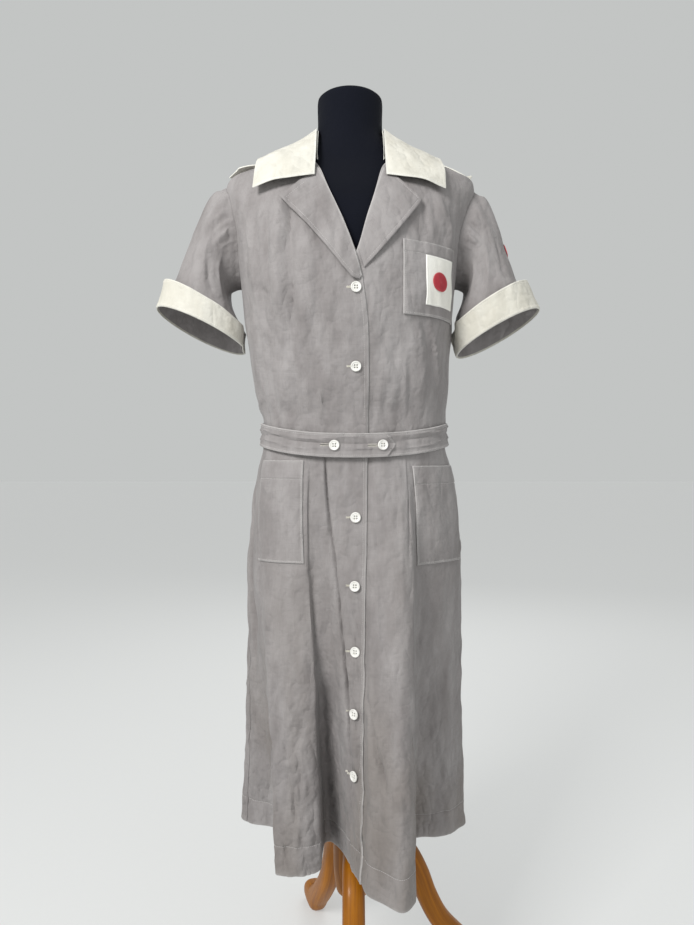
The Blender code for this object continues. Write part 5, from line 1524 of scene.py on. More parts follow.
def round_badge(room: Workroom, name: str, radius: float, surface: Surface) -> None:
    """A plain round of red cloth with a soft edge.

    Args:
        room: Where it is finished.
        name: The solid that it stands for.
        radius: Its radius.
        surface: Its place by metres from its middle.
    """
    spokes = np.radians(np.arange(0.0, 360.0, 5.0))
    radii = np.concatenate([np.linspace(0.004, 0.85, 10), [0.92, 0.96, 0.985, 1.0]])[:, None] * radius
    across, up = radii * np.cos(spokes), radii * np.sin(spokes)
    trim = turned_edge(radius - radii + 0.0 * spokes, 0.0018) * 0.6
    wall = Wall(name, surface(across, up, BADGE_THICK + trim), surface(across, up, 0.0 * trim), ring=True)
    made = wall.build()
    made.name = f"{name}_cloth"
    room.add(made, Look.RED, Slot.RED, name)
    2 * radius
    2 * radius
    math.pi * radius**2


@dataclass
class Skirt:
    """Two fronts that lap down the middle and the back, with a pocket on each front."""

    room: Workroom
    body: Torso
    form: Torso
    column: float = 0.0034
    girth: float = 0.23
    hem_depth: float = 0.040
    placket_stitch: float = 0.0060
    crease_scale: float = 1.25
    small: tuple = field(default_factory=lambda: (
        scattered(170, 12, (-100.0, 260.0), (0.30, 0.80), 0.95, 0.0010, 0.22)
        + scattered(70, 13, (-20.0, 9.0), (0.31, 0.72), 0.62, 0.0013, 1.2)
        + scattered(60, 14, (-92.0, -44.0), (0.29, 0.55), 0.80, 0.0012, 0.9)))
    sewing: Sewing = field(default_factory=lambda: Sewing("skirt_stitches"))

    def base(self, angle: Array, share: Array) -> Array:
        """Places on the inner face of the skirt by waist angle and share of the way down."""
        angle, share = np.broadcast_arrays(np.asarray(angle, float), np.asarray(share, float))
        rows = [row._replace(angle=row.angle + turn) for turn in (-360.0, 0.0, 360.0) for row in SKIRT_FOLDS]
        table = np.array(rows)
        hem_x, hem_y, ease = (curve(table[:, 0], table[:, k], angle) for k in (1, 2, 3))
        top = waist_height(angle) - WAIST_GAP
        start = per_value(angle, lambda turn: self.body.cast(turn, waist_height(turn) - WAIST_GAP))
        fallen = (np.maximum(share - BELTED, 0.0) / (1 - BELTED)) ** ease
        hip = curve(HIP_ROWS, HIP_SHARE, share)
        x = start[..., 0] + (hem_x - start[..., 0]) * fallen
        y = start[..., 1] + (hem_y - start[..., 1]) * fallen
        turn = np.radians(angle)
        x = x + HIP_SIDE * hip * np.sin(turn) * np.abs(np.sin(turn))
        y = y + HIP_BACK * hip * np.maximum(-np.cos(turn), 0.0)
        points = np.stack([x, y, top + (HEM - top) * share], axis=-1)
        over_form = ramp(points[..., 2], FORM[0].height - 0.10, FORM[0].height)
        return self.form.clear_of(FORM_CLEAR, points, over_form)

    def relief(self, angle: Array, share: Array) -> Array:
        """How far gathers and creases stand out."""
        top = waist_height(angle) - WAIST_GAP
        z = top + (HEM - top) * share
        wrapped = np.mod(angle + 100.0, 360.0) - 100.0
        creases = SKIRT_CREASES + self.small
        total = self.crease_scale * sum(relief(creases, wrapped - turn, z, 230.0) for turn in (0.0, 360.0))
        for gather in WAIST_GATHERS:
            down = np.clip((top - z) / (top - gather.low), 0.0, 1.0)
            off = (wrapped - gather.angle) / (gather.width * (1 + down))
            held = ramp(share, 0.03, 0.07)
            total = total + gather.height * np.exp(-np.abs(off) ** 1.6) * held * (1 - down) ** 1.3
        around = np.radians(angle)
        places = np.stack([np.sin(around) * self.girth, -np.cos(around) * self.girth, z], axis=-1)
        uneven = 0.0010 * ripple(places, 0.075, 5) + 0.0006 * ripple(places, 0.028, 6)
        return total + uneven * ramp(share, 0.05, 0.14)

    def point(self, angle: Array, share: Array, out: Array) -> Array:
        """Places on the skirt, out metres from its inner face."""
        angle, share = np.broadcast_arrays(np.asarray(angle, float), np.asarray(share, float))
        along = self.base(angle + 0.15, share) - self.base(angle - 0.15, share)
        down = self.base(angle, np.minimum(share + 0.004, 1)) - self.base(angle, np.maximum(share - 0.004, 0))
        lift = self.relief(angle, share) + out
        return self.base(angle, share) + unit(np.cross(down, along)) * lift[..., None]

    def at_height(self, angle: Array, height: Array, out: Array) -> Array:
        """Places on the skirt by waist angle and height."""
        angle, height = np.broadcast_arrays(np.asarray(angle, float), np.asarray(height, float))
        top = waist_height(angle) - WAIST_GAP
        return self.point(angle, (top - height) / (top - HEM), out)

    def columns(self, first: float, last: float) -> Array:
        """Waist angles of columns that stand evenly apart between waist and hem."""
        angles = np.linspace(first, last, 3000)
        places = self.base(angles, 1.0)
        run = np.concatenate([[0.0], np.cumsum(np.linalg.norm(np.diff(places, axis=0), axis=1))])
        run = run + np.abs(angles - first) * 0.0010
        return np.interp(np.linspace(0, run[-1], math.ceil(run[-1] / self.column)), run, angles)

    def rows(self) -> Array:
        """Shares of the way down, close together at both ends and at the hem's stitches."""
        length = WAIST - HEM
        line = 1 - self.hem_depth / length
        near = line + np.array([-0.0018, -0.0009, 0.0, 0.0009, 0.0018]) / length
        return np.sort(np.concatenate([graded(length, 0.004, 0.0008, 0.0075), near]))

    def degree(self, share: Array) -> Array:
        """How many metres one degree is worth at the overlapping edge."""
        return 0.0018 + 0.0006 * share

    def trim(self, angle: Array, share: Array, overlaps: bool) -> Array:
        """The turned hem, and the turned edge of the front that overlaps."""
        length = WAIST - HEM
        to_hem = (1 - share) * length
        hem = turned_edge(to_hem, 0.1) - 0.0006 * np.exp(-(((to_hem - self.hem_depth) / 0.0011) ** 2))
        hem = hem + 0.0004 * (1 - ramp(to_hem, self.hem_depth - 0.001, self.hem_depth))
        edge = turned_edge(np.abs(angle - OVERLAP_ANGLE) * self.degree(share), self.placket_stitch)
        return hem + edge * overlaps

    def under_lap(self, angle: Array) -> Array:
        """The wearer's left front runs beneath the right one."""
        return -(CLOTH + 2 * LAID_ON) * (1 - ramp(angle, OVERLAP_ANGLE, OVERLAP_ANGLE + 6.0))

    def build(self) -> None:
        """Makes the panels, the pockets and their sewing."""
        edge = OVERLAP_ANGLE - np.linspace(4.0, 0.0, 15)
        main = self.columns(-90.0 + SIDE_SEAM, OVERLAP_ANGLE)
        right = np.concatenate([main[main < edge[0] - 0.2], edge])
        panels = (("skirt_front_right", right, np.zeros_like),
                  ("skirt_front_left", self.columns(UNDERLAP_ANGLE, 90.0 - SIDE_SEAM), self.under_lap),
                  ("skirt_back", self.columns(90.0 + SIDE_SEAM, 270.0 - SIDE_SEAM), np.zeros_like))
        rows = self.rows()
        for name, angles, lift in panels:
            angle, share = np.meshgrid(angles, rows)
            trim = self.trim(angle, share, name == "skirt_front_right")
            wall = Wall(name, self.point(angle, share, CLOTH + lift(angle) + trim),
                        self.point(angle, share, lift(angle)), worn_and_highlit=(False, True, False, "right" in name))
            self.room.cloth(wall, Look.DRESS, Slot.DRESS, "gathered", ["form_torso"])
        for size in SKIRT_POCKETS:
            base = CLOTH + SEWN_ON
            under = f"skirt_front_{size.name.rsplit('_', 1)[1]}_cloth"
            pocket = patch_wall(size, self.at_height, base, CLOTH)
            self.room.cloth(pocket, Look.DRESS, Slot.DRESS, "laid", [under])
            pocket_stitches(self.sewing, size, self.at_height, base + CLOTH)
        self.hem_sewing()
        height = np.linspace(HEM + 0.004, 0.868, 240)
        share = (waist_height(8.0) - height) / (waist_height(8.0) - HEM)
        inset = OVERLAP_ANGLE - self.placket_stitch / self.degree(share)
        self.sewing.on(self.at_height, inset, height, CLOTH)
        self.room.add(self.sewing.build(), Look.THREAD, Slot.DRESS)

    def hem_sewing(self) -> None:
        """The row of stitches that holds the turned hem."""
        share = 1 - self.hem_depth / (WAIST - HEM)
        for first, last in ((-90.0, OVERLAP_ANGLE - 1.0), (OVERLAP_ANGLE + 2.0, 90.0), (90.5, 269.5)):
            self.sewing.on(self.point, np.linspace(first, last, 900), share, CLOTH)


@dataclass
class Belt:
    """One strap once round the waist that ends in a point over its own start."""

    room: Workroom
    size: Section = Section(0.0, 0.1432, 0.1466, 0.1078, 0.0985)
    height: float = 0.035
    start: float = -14.0
    tip: float = 381.3
    point_length: float = 5.0
    over: float = 0.0023
    degree: float = 0.0023
    stitch: float = 0.0035
    creases: tuple = ((0.28, 0.045, 0.0020, 13), (0.08, 0.05, -0.0018, 14), (-0.16, 0.045, 0.0019, 15))

    def point(self, turn: Array, share: Array, out: Array) -> Array:
        """Places on the belt by its turn about the waist and its share of the height."""
        turn, share = np.broadcast_arrays(np.asarray(turn, float), np.asarray(share, float))
        angle = np.radians(turn)
        over = self.over * ramp(turn, 300.0, 340.0)
        side_x = np.where(np.sin(angle) < 0, self.size.right, self.size.left)
        side_y = np.where(np.cos(angle) > 0, self.size.front, self.size.back)
        power = 2 / SQUARENESS
        x = (side_x + over + out) * np.sign(np.sin(angle)) * np.abs(np.sin(angle)) ** power
        y = -(side_y + over + out) * np.sign(np.cos(angle)) * np.abs(np.cos(angle)) ** power
        z = waist_height(turn) + 0.001 + share * self.height
        return np.stack([x, y, z], axis=-1)

    def surface(self, turn: Array, share: Array, out: Array) -> Array:
        """Places on the belt with its soft unevenness."""
        turn, share = np.asarray(turn, float), np.asarray(share, float)
        places = np.stack([turn * self.degree, share * self.height, 0 * turn], -1)
        soft = 0.0004 * (1 + ripple(places, 0.045, 12)) + 0.0020 * ramp(-share, 0.15, 0.5)
        for middle, width, height, seed in self.creases:
            wander = middle + 0.07 * ripple(places * [1.0, 0.0, 0.0], 0.10, seed)
            soft = soft + height * np.exp(-(((share - wander) / width) ** 2))
        return self.point(turn, share, out + soft)

    def half(self, turn: Array) -> Array:
        """Half the belt's height at a turn, as a share, narrowing to the point."""
        return np.interp(turn, [self.tip - self.point_length, self.tip], [0.5, 0.03])

    def build(self) -> None:
        """Makes the belt and the stitches along both its edges."""
        turns = np.concatenate([np.arange(self.start, self.tip - self.point_length, 2.0),
                                np.linspace(self.tip - self.point_length, self.tip, 9)])
        shares = graded(self.height, 0.0055, 0.0008, 0.0025) * 2 - 1
        turn, share = np.meshgrid(turns, shares)
        to_edge = (1 - np.abs(share)) * self.height / 2
        to_tip = np.abs(self.tip - turn) * self.degree + 0.0 * share
        trim = turned_edge(np.minimum(to_edge, to_tip), self.stitch)
        grid = share * self.half(turn)
        wall = Wall("belt", self.surface(turn, grid, DOUBLED + trim), self.point(turn, grid, 0.0 * trim))
        self.room.cloth(wall, Look.DRESS, Slot.DRESS, "hung", ["bodice_back_cloth", "skirt_back_cloth"])
        sewing = Sewing("belt_stitches")
        line = np.linspace(self.start + 2, self.tip - 1.6, 700)
        for side in (-1, 1):
            inset = side * np.maximum(self.half(line) - self.stitch / self.height, 0.0)
            sewing.on(self.surface, line, inset, DOUBLED)
        self.room.add(sewing.build(), Look.THREAD, Slot.DRESS)


@dataclass
class Sleeve:
    """A short sleeve gathered at its head, with a white cuff turned back over its end."""

    room: Workroom
    bodice: Bodice
    name: str
    side: Side
    cuff_top: SleeveRing
    cuff_low: SleeveRing
    faces_front: float = 11.0
    gathers: int = 6
    gather_height: float = 0.0045
    head: float = 103.0
    puff: float = 0.125
    seam: float = 0.0006
    flare: float = 0.0060
    flare_outside: float = 0.0035
    clear_at_head: float = 0.0035
    clear_at_end: float = 0.0140
    length: float = 0.19
    arm_radius: float = 0.075
    covers_to: float = 1.93
    cuff_depth: float = 0.036
    cuff_stitch: float = 0.0035

    def ring(self, ring: SleeveRing, turn: Array) -> Array:
        """The oval at the sleeve's end; turn 0 is its outer, higher side and 90 its front."""
        tilt, dip = math.radians(ring.tilt), math.radians(self.faces_front)
        outer = np.array([self.side.value * math.cos(tilt), 0.0, math.sin(tilt)])
        front = np.array([0.0, -math.cos(dip), math.sin(dip)])
        turn = np.radians(turn)[..., None]
        middle = np.array([ring.x, ring.y, ring.z])
        return middle + outer * ring.half_width * np.cos(turn) + front * ring.half_depth * np.sin(turn)

    def armhole_frame(self, turn: Array) -> tuple[Array, Array, Array]:
        """The armhole's edge with the outward and inward ways there."""
        none = np.zeros(turn.shape)
        here, ahead, behind = (self.bodice.point(*self.bodice.armhole(self.side, turn + step), none)
                               for step in (0.0, 4.0, -4.0))
        body = self.bodice.body
        normal = body.outward(body.cast(*self.bodice.armhole(self.side, turn)))
        return here, normal, unit(np.cross(ahead - behind, normal)) * -self.side.value

    def frame_grid(self, turn: Array) -> tuple[Array, Array, Array]:
        """The armhole frame over a grid of turns."""
        packed = per_value(turn, lambda values: np.stack(self.armhole_frame(values), axis=1))
        return packed[..., 0, :], packed[..., 1, :], packed[..., 2, :]

    def base(self, turn: Array, share: Array) -> Array:
        """Places on the sleeve: share 0 at the armhole, 1 at the cuff's top and 2 at its lower edge."""
        here, normal, away = self.frame_grid(turn)
        start = here + away * self.seam
        end = self.ring(self.cuff_top, turn)
        last = self.ring(self.cuff_low, turn)
        length = np.linalg.norm(end - start, axis=-1, keepdims=True)
        on_top = (0.5 + 0.5 * np.cos(np.radians(turn)))[..., None]
        leave = normal * (self.puff + 0.25 * length * (1 - on_top)) + away * length * (0.25 + 0.45 * on_top)
        arrive = unit(last - end) * length * 0.9
        t = np.clip(share, 0, 1)[..., None]
        past = np.clip(share - 1, 0, None)[..., None]
        body = start * (1 + 2 * t) * (1 - t) ** 2 + end * t * t * (3 - 2 * t)
        body = body + leave * t * (1 - t) ** 2 - arrive * t * t * (1 - t) + (last - end) * past
        near = self.bodice.body.clear_of(self.clear_at_head, body, ramp(share, 0.0, 0.20))
        return self.bodice.body.clear_of(self.clear_at_end, near, ramp(share, 0.45, 0.95))

    def relief(self, turn: Array, share: Array) -> Array:
        """Gathers over the sleeve head and creases down the sleeve."""
        angle = np.mod(turn + 180.0, 360.0) - 180.0
        on_head = np.abs(angle) < self.head
        wave = 0.5 - 0.5 * np.cos(np.radians(angle + self.head) * self.gathers * 180.0 / self.head)
        main = self.gather_height * wave * (1 - ramp(share, 0.10, 0.60))
        pleats = np.radians(angle) * 21 + 2 * np.sin(np.radians(angle) * 5)
        fine = 0.0019 * np.sin(pleats) * (1 - ramp(share, 0.05, 0.40))
        gathered = (main + fine) * on_head * ramp(share, 0.0, 0.08)
        creases = 1.6 * relief(SLEEVE_CREASES, angle, share, 60.0) * (1 - ramp(share, 0.96, 1.0))
        circle = np.stack([np.cos(np.radians(angle)), np.sin(np.radians(angle)), share * 2.0], axis=-1) * 0.07
        uneven = 0.0007 * ripple(circle, 0.06, 20 + self.side.value) * ramp(share, 0.05, 0.25)
        return gathered + creases + uneven * (1 - ramp(share, 0.95, 1.0))

    def point(self, turn: Array, share: Array, out: Array) -> Array:
        """Places on the sleeve, out metres from its inner face."""
        turn, share = np.broadcast_arrays(np.asarray(turn, float), np.asarray(share, float))
        around = self.base(turn + 5.0, share) - self.base(turn - 5.0, share)
        down = self.base(turn, share + 0.01) - self.base(turn, np.maximum(share - 0.01, 0))
        normal = unit(np.cross(around, down)) * self.side.value
        _, at_armhole, _ = self.frame_grid(turn)
        normal = unit(at_armhole + (normal - at_armhole) * ramp(share, 0.0, 0.16)[..., None])
        return self.base(turn, share) + normal * (self.relief(turn, share) + out)[..., None]

    def cuff_out(self, turn: Array, share: Array) -> Array:
        """How far the cuff's inner face stands off the sleeve's."""
        flare = self.flare + self.flare_outside * np.cos(np.radians(turn))
        places = np.stack([np.cos(np.radians(turn)), np.sin(np.radians(turn)), share], axis=-1) * 0.07
        slack = 0.0013 * (1.2 + ripple(places, 0.050, 31 + self.side.value))
        return CLOTH + SEWN_ON + (flare + slack) * np.clip(2.0 - share, 0, 1)

    def cuff_point(self, turn: Array, share: Array, out: Array) -> Array:
        """Places on the cuff, out metres from its inner face."""
        turn, share = np.broadcast_arrays(np.asarray(turn, float), np.asarray(share, float))
        return self.point(turn, share, self.cuff_out(turn, share) + out)

    def build(self) -> None:
        """Makes the sleeve, its cuff and the cuff's stitches."""
        turns = np.arange(0.0, 360.0, 2.0)
        under_cuff = [1.3, 1.6, self.covers_to]
        shares = np.concatenate([np.linspace(0.0, 0.16, 17), np.linspace(0.16, 1.0, 44)[1:], under_cuff])
        turn, share = np.meshgrid(turns, shares)
        wall = Wall(f"sleeve_{self.name}", self.point(turn, share, CLOTH + 0 * turn),
                    self.point(turn, share, 0 * turn), ring=True, worn_and_highlit=(False, False, False, False))
        self.room.cloth(wall, Look.DRESS, Slot.DRESS, "gathered", [f"bodice_front_{self.name}_cloth"])
        depth = self.cuff_depth
        turn, share = np.meshgrid(np.arange(0.0, 360.0, 3.0), 1 + graded(depth, 0.006, 0.0008, 0.003))
        to_edge = np.minimum(share - 1, 2 - share) * depth
        trim = turned_edge(to_edge, self.cuff_stitch)
        cuff = Wall(f"cuff_{self.name}", self.cuff_point(turn, share, DOUBLED + trim),
                    self.cuff_point(turn, share, 0 * turn), ring=True)
        self.room.cloth(cuff, Look.WHITE, Slot.WHITE, "folded", [f"sleeve_{self.name}_cloth"])
        sewing = Sewing(f"cuff_{self.name}_stitches")
        for at in (1 + self.cuff_stitch / depth, 2 - self.cuff_stitch / depth):
            sewing.on(self.cuff_point, np.linspace(0.0, 360.0, 240), at, DOUBLED)
        self.room.add(sewing.build(), Look.WHITE_THREAD, Slot.WHITE)

    def badge(self, radius: float, turn: float, share: float) -> None:
        """A plain round badge on the sleeve's outer side."""

        def at(across: Array, up: Array, out: Array) -> Array:
            """The badge's surface by metres from its middle."""
            across, up = np.broadcast_arrays(across, up)
            turned = turn + np.degrees(across / self.arm_radius)
            return self.point(turned, share - up / self.length, CLOTH + SEWN_ON + out)

        round_badge(self.room, "sleeve_disc", radius, at)


class Strap(NamedTuple):
    """A shoulder strap: where it starts and ends across, its free end's height, twist and slant."""

    name: str
    side: Side
    start: float
    end: float
    end_height: float
    front_drop: float
    skew: float


STRAPS = rows_of(
    Strap,
    ("epaulette_right", Side.RIGHT, 0.144, 0.192, 1.308, 0.0, 0.0075),
    ("epaulette_left", Side.LEFT, 0.132, 0.188, 1.301, 0.018, 0.004),
)


@dataclass
class Collar:
    """The collar's fall and stand, and the two shoulder straps."""

    room: Workroom
    bodice: Bodice
    form: Torso
    right_stretch: float = 1.035
    shift: float = -0.0035
    width: float = 0.088
    half_length: float = 0.26
    stitch: float = 0.0050
    strap_half: float = 0.020
    strap_arch: float = 0.002
    strap_stitch: float = 0.0035

    def point(self, along: Array, across: Array, out: Array) -> Array:
        """Places on the fall: along from -1 at the right front to 1 at the left, across from roll to edge."""
        table = np.array([[row.roll, row.middle, row.edge] for row in COLLAR])
        station = (1 - np.abs(along)) * (len(COLLAR) - 1)
        numbers = np.arange(len(COLLAR))
        roll, middle, edge = (np.stack([curve(numbers, table[:, i, k], station) for k in range(3)], -1)
                              for i in range(3))
        control = middle * 2 - (roll + edge) / 2
        q = across[..., None]
        sheet = roll * (1 - q) ** 2 + control * 2 * q * (1 - q) + edge * q * q
        mirror = np.where(along < 0, -self.right_stretch, 1.0)
        sheet = sheet * np.stack([mirror, np.ones(mirror.shape), np.ones(mirror.shape)], -1)
        soft = 0.0016 * (1 + ripple(sheet, 0.05, 41)) * ramp(across, 0.1, 0.7)
        up = unit(np.stack([sheet[..., 0] * 0.5, sheet[..., 1] * 0.5, 0.08 + 0 * q[..., 0]], -1))
        return sheet + [self.shift, 0.0, 0.0] + up * (soft + out)[..., None]

    def build(self) -> None:
        """Makes the collar, its stitches and the straps."""
        along = graded(2.0, 0.10, 0.009, 0.022) * 2 - 1
        across = np.concatenate([np.linspace(0, 0.90, 26), np.linspace(0.90, 1.0, 12)[1:]])
        along, across = np.meshgrid(along, across)
        to_edge = (1 - across) * self.width
        to_front = (1 - np.abs(along)) * self.half_length
        trim = turned_edge(np.minimum(to_edge, to_front), self.stitch)
        faces = [self.point(along, across, out) for out in (DOUBLED + trim, 0 * along)]
        fall = Wall("collar_fall", *faces)
        self.room.cloth(fall, Look.WHITE, Slot.WHITE, "folded", ["bodice_back_cloth"])
        self.stand()
        sewing = Sewing("collar_stitches")
        line = np.linspace(-0.975, 0.975, 400)
        sewing.on(self.point, line, np.full(line.shape, 1 - self.stitch / self.width), DOUBLED)
        for side in (-1, 1):
            across_line = np.linspace(0.10, 0.93, 60)
            beside = side * (1 - self.stitch / self.half_length)
            sewing.on(self.point, np.full(60, beside), across_line, DOUBLED)
        self.straps(sewing)
        self.room.add(sewing.build(), Look.WHITE_THREAD, Slot.WHITE)

    def stand(self) -> None:
        """The stand joins the roll to the neckline behind the collar's front ends."""
        along = np.linspace(-0.833, 0.833, 110)
        roll = self.point(along, np.zeros(along.shape), np.zeros(along.shape))
        angle = np.degrees(np.arctan2(roll[:, 0], -roll[:, 1]))
        neckline = self.bodice.body.chart(roll[:, 0], np.minimum(roll[:, 2], 1.30))[1]
        part = np.abs(np.linspace(-1, 1, len(roll)))
        climb = neckline + (NECK_CLIMB - neckline) * ramp(1 - part, 0.0, 0.35)
        low = self.bodice.point(angle, climb, np.full(climb.shape, CLOTH + SEAM))
        inward = unit(roll * [1, 1, 0])
        top = roll - inward * (CLOTH + 0.0016) - [0, 0, 0.0015]
        heights = np.linspace(0.06, 1.0, 9)[:, None, None]
        inner = self.form.clear_of(0.0012, low + (top - low) * heights, np.ones((9, len(roll))))
        wall = Wall("collar_stand", inner + inward * CLOTH, inner)
        self.room.cloth(wall, Look.WHITE, Slot.WHITE, "folded", ["bodice_back_cloth"])

    def shoulder_height(self, x: float) -> float:
        """The height of the shoulder's ridge at x."""
        heights = np.linspace(1.28, 1.35, 300)
        ridge = self.bodice.body.reach(np.stack([0 * heights + x, 0 * heights, heights], axis=-1))
        return float(np.interp(1.0, ridge, heights))

    def straps(self, sewing: Sewing) -> None:
        """A strap on each shoulder, narrowed at its free end."""
        for strap in STRAPS:
            start = self.shoulder_height(strap.side.value * strap.start) + CLOTH + 0.0011

            def at(across: Array, along: Array, out: Array, strap: Strap = strap,
                   start: float = start) -> Array:
                """The strap's surface."""
                tip = 1 - 0.4 * ramp(along, 0.84, 1.0)
                height = start + (strap.end_height - start) * along + self.strap_arch * np.sin(np.pi * along)
                height = height + strap.front_drop * 0.5 * across * along + out
                x = strap.side.value * (strap.start + (strap.end - strap.start + strap.skew * across) * along)
                return np.stack([x, self.strap_half * across * tip, height], axis=-1)

            long = strap.end - strap.start
            sides = graded(2 * self.strap_half, 0.005, 0.0008, 0.003) * 2 - 1
            across, along = np.meshgrid(sides, graded(long, 0.005, 0.0008, 0.003))
            inset = np.minimum((1 - np.abs(across)) * self.strap_half, (1 - along) * long)
            trim = turned_edge(inset, self.strap_stitch)
            wall = Wall(strap.name, at(across, along, DOUBLED + trim), at(across, along, 0 * along))
            under = f"bodice_front_{strap.side.name.lower()}_cloth"
            self.room.cloth(wall, Look.WHITE, Slot.WHITE, "laid", [under])
            line = np.linspace(0.05, 0.90, 30)
            for edge in (-0.82, 0.82):
                sewing.on(at, edge, line, DOUBLED)


@dataclass
class Buttons:
    """Four-hole buttons down the front and on the belt, with their threads and buttonholes."""

    room: Workroom
    bodice: Bodice
    skirt: Skirt
    belt: Belt
    radius: float = 0.0076
    thick: float = 0.0030
    dish: float = 0.0009
    hole_radius: float = 0.00105
    hole_place: float = 0.0017
    slit_half: float = 0.0088
    threads: list = field(default_factory=list)
    holes: Sewing = field(default_factory=lambda: Sewing("buttonholes", 0.0010, 0.0007, 0.00062))
    slits: list = field(default_factory=list)
    hole_shadows: list = field(default_factory=list)

    def mesh(self, name: str) -> bpy.types.Object:
        """A dished button with a round rim and four holes, about its own axis."""
        turns = np.radians(np.arange(0.0, 360.0, 6.0))
        floor = self.thick - self.dish
        inner = np.linspace(0.0002, 0.0048, 24)
        rim_r = np.array([0.0052, 0.0056, 0.0060, 0.0066, 0.0071, 0.0075, 0.0076, 0.0074, 0.0068, 0.0060])
        rim_z = np.array([0.0022, 0.0026, 0.0029, 0.0030, 0.0029, 0.0024, 0.0016, 0.0009, 0.0003, 0.0000])
        radii = np.concatenate([inner, rim_r])[:, None]
        x, y = radii * np.cos(turns), radii * np.sin(turns)
        z = np.concatenate([np.full(len(inner), floor), rim_z])[:, None] + 0 * turns
        off = np.hypot(np.abs(x) - self.hole_place, np.abs(y) - self.hole_place)
        z = z - 0.0013 * (1 - ramp(off, self.hole_radius * 0.7, self.hole_radius * 1.15))
        grid = np.stack([x, y, z], -1)
        rows, columns = z.shape
        faces = grid_quads(rows, columns, columns)[:, [0, 3, 2, 1]].tolist()
        faces += [list(range(columns)), list(range((rows - 1) * columns, rows * columns))]
        made = mesh_object(name, grid.reshape(-1, 3) - FORM_AXIS, faces)
        outward_faces(made.data, 60.0)
        return made

    def place(self, name: str, at: Array, toward: Array, across: Array) -> None:
        """Lays a button on the cloth and adds its thread.

        Args:
            name: The solid that it stands for.
            at: The place on the cloth.
            toward: The outward direction there.
            across: The direction that its holes line up with.
        """
        made = self.mesh(f"{name}_moulded")
        z = unit(np.asarray(toward, float))
        x = unit(across - z * (across @ z))
        y = np.cross(z, x)
        turn = Matrix(np.stack([x, y, z], axis=1).tolist()).to_4x4()
        made.data.transform(Matrix.Translation(Vector((at + FORM_AXIS).tolist())) @ turn)
        self.room.add(made, Look.BUTTON, Slot.BUTTON, name)
        floor = self.thick - self.dish
        # A dark disc of painted shadow at the bottom of each hole.
        for side in (-1, 1):
            for row in (-1, 1):
                middle = at + (x * side + y * row) * self.hole_place + z * (floor - 0.0008)
                turns = np.radians(np.arange(0.0, 360.0, 30.0))[:, None]
                self.hole_shadows.append(middle + (x * np.cos(turns) + y * np.sin(turns)) * self.hole_radius * 0.95)
        for row in (-1, 1):
            ends = [at + x * side * self.hole_place * 1.05 + y * row * self.hole_place + z * (floor + 0.0001)
                    for side in (-1.0, -0.5, 0.0, 0.5, 1.0)]
            self.threads.append((np.array(ends), np.tile(z, (5, 1))))

    def buttonhole(self, surface: Surface, a: Array, b: Array, out: float, cut: bool = True) -> None:
        """A worked buttonhole: close bars along chart places, round a dark strip of painted shadow where it
        is cut open.
        """
        self.holes.on(surface, a, b[0], out)
        self.holes.on(surface, a, b[2], out)
        if not cut:
            self.holes.on(surface, a, b[1], out)
            return
        lips = [b[0] * 0.35 + b[1] * 0.65, b[2] * 0.35 + b[1] * 0.65]
        self.slits.append(np.stack([surface(a, lip, np.full(a.shape, out + 0.00005)) for lip in lips]))

    def build(self) -> None:
        """Makes all nine buttons, their threads and the buttonholes."""
        across = np.array([1.0, 0.0, 0.0])
        front = self.bodice.front(Side.RIGHT)
        line = np.linspace(-1, 1, 14)
        number = 0
        for place in BODICE_BUTTONS:
            number += 1
            at, above = (front(np.array(BUTTON_X), np.array(place.height), np.array(out))
                         for out in (CLOTH + place.lift, CLOTH + place.lift + 0.01))
            self.place(f"button_{number}", at, above - at, across)
            x = BUTTON_X - 0.0048 + line * self.slit_half
            rows = [np.full(14, place.height + step) for step in (-0.0009, 0.0, 0.0009)]
            self.buttonhole(front, x, rows, CLOTH, False)
        for place in SKIRT_BUTTONS:
            number += 1
            angle = self.skirt_angle(place.height)
            at, above = (self.skirt.at_height(np.array(angle), np.array(place.height), np.array(out))
                         for out in (CLOTH + place.lift, CLOTH + place.lift + 0.01))
            self.place(f"button_{number}", at, above - at, across)
            angles = self.skirt_angle(place.height, BUTTON_X - 0.0055 + line * self.slit_half)
            rows = [np.full(14, place.height + step) for step in (-0.0009, 0.0, 0.0009)]
            self.buttonhole(self.skirt.at_height, angles, rows, CLOTH, False)
        for k, x in enumerate(BELT_BUTTONS):
            share = abs(x) / (self.belt.size.left if x > 0 else self.belt.size.right)
            turn = 360.0 + math.copysign(math.degrees(math.asin(share ** (SQUARENESS / 2))), x)
            at = self.belt.point(np.array(turn), np.array(0.0), np.array(DOUBLED + 0.0010))
            toward = unit(at * [1 / self.belt.size.left**2, 1 / self.belt.size.front**2, 0])
            self.place(f"belt_button_{k + 1}", at, toward, across)
            turns = turn + (line * self.slit_half - 0.0060) / 0.0019
            rows = [np.full(14, step / self.belt.height) for step in (-0.0013, 0.0, 0.0013)]
            self.buttonhole(self.belt.surface, turns, rows, DOUBLED)
        self.finish_threads()

    def finish_threads(self) -> None:
        """Makes the threads through the holes, the worked bars, and the dark strips and discs of painted
        shadow in each cut slit and hole.
        """
        sewing = Sewing("button_threads", 0.0030, 0.0031, 0.00032)
        for points, normals in self.threads:
            sewing.length = float(np.linalg.norm(points[-1] - points[0])) * 0.98
            run = np.linspace(0, 1, 3)
            ends = points[0] + (points[-1] - points[0]) * run[:, None]
            sewing.bars.append((ends[None], normals[:3][None]))
        self.room.add(sewing.build(), Look.WHITE_THREAD, Slot.BUTTON)
        self.room.add(self.holes.build(), Look.WHITE_THREAD, Slot.DRESS)
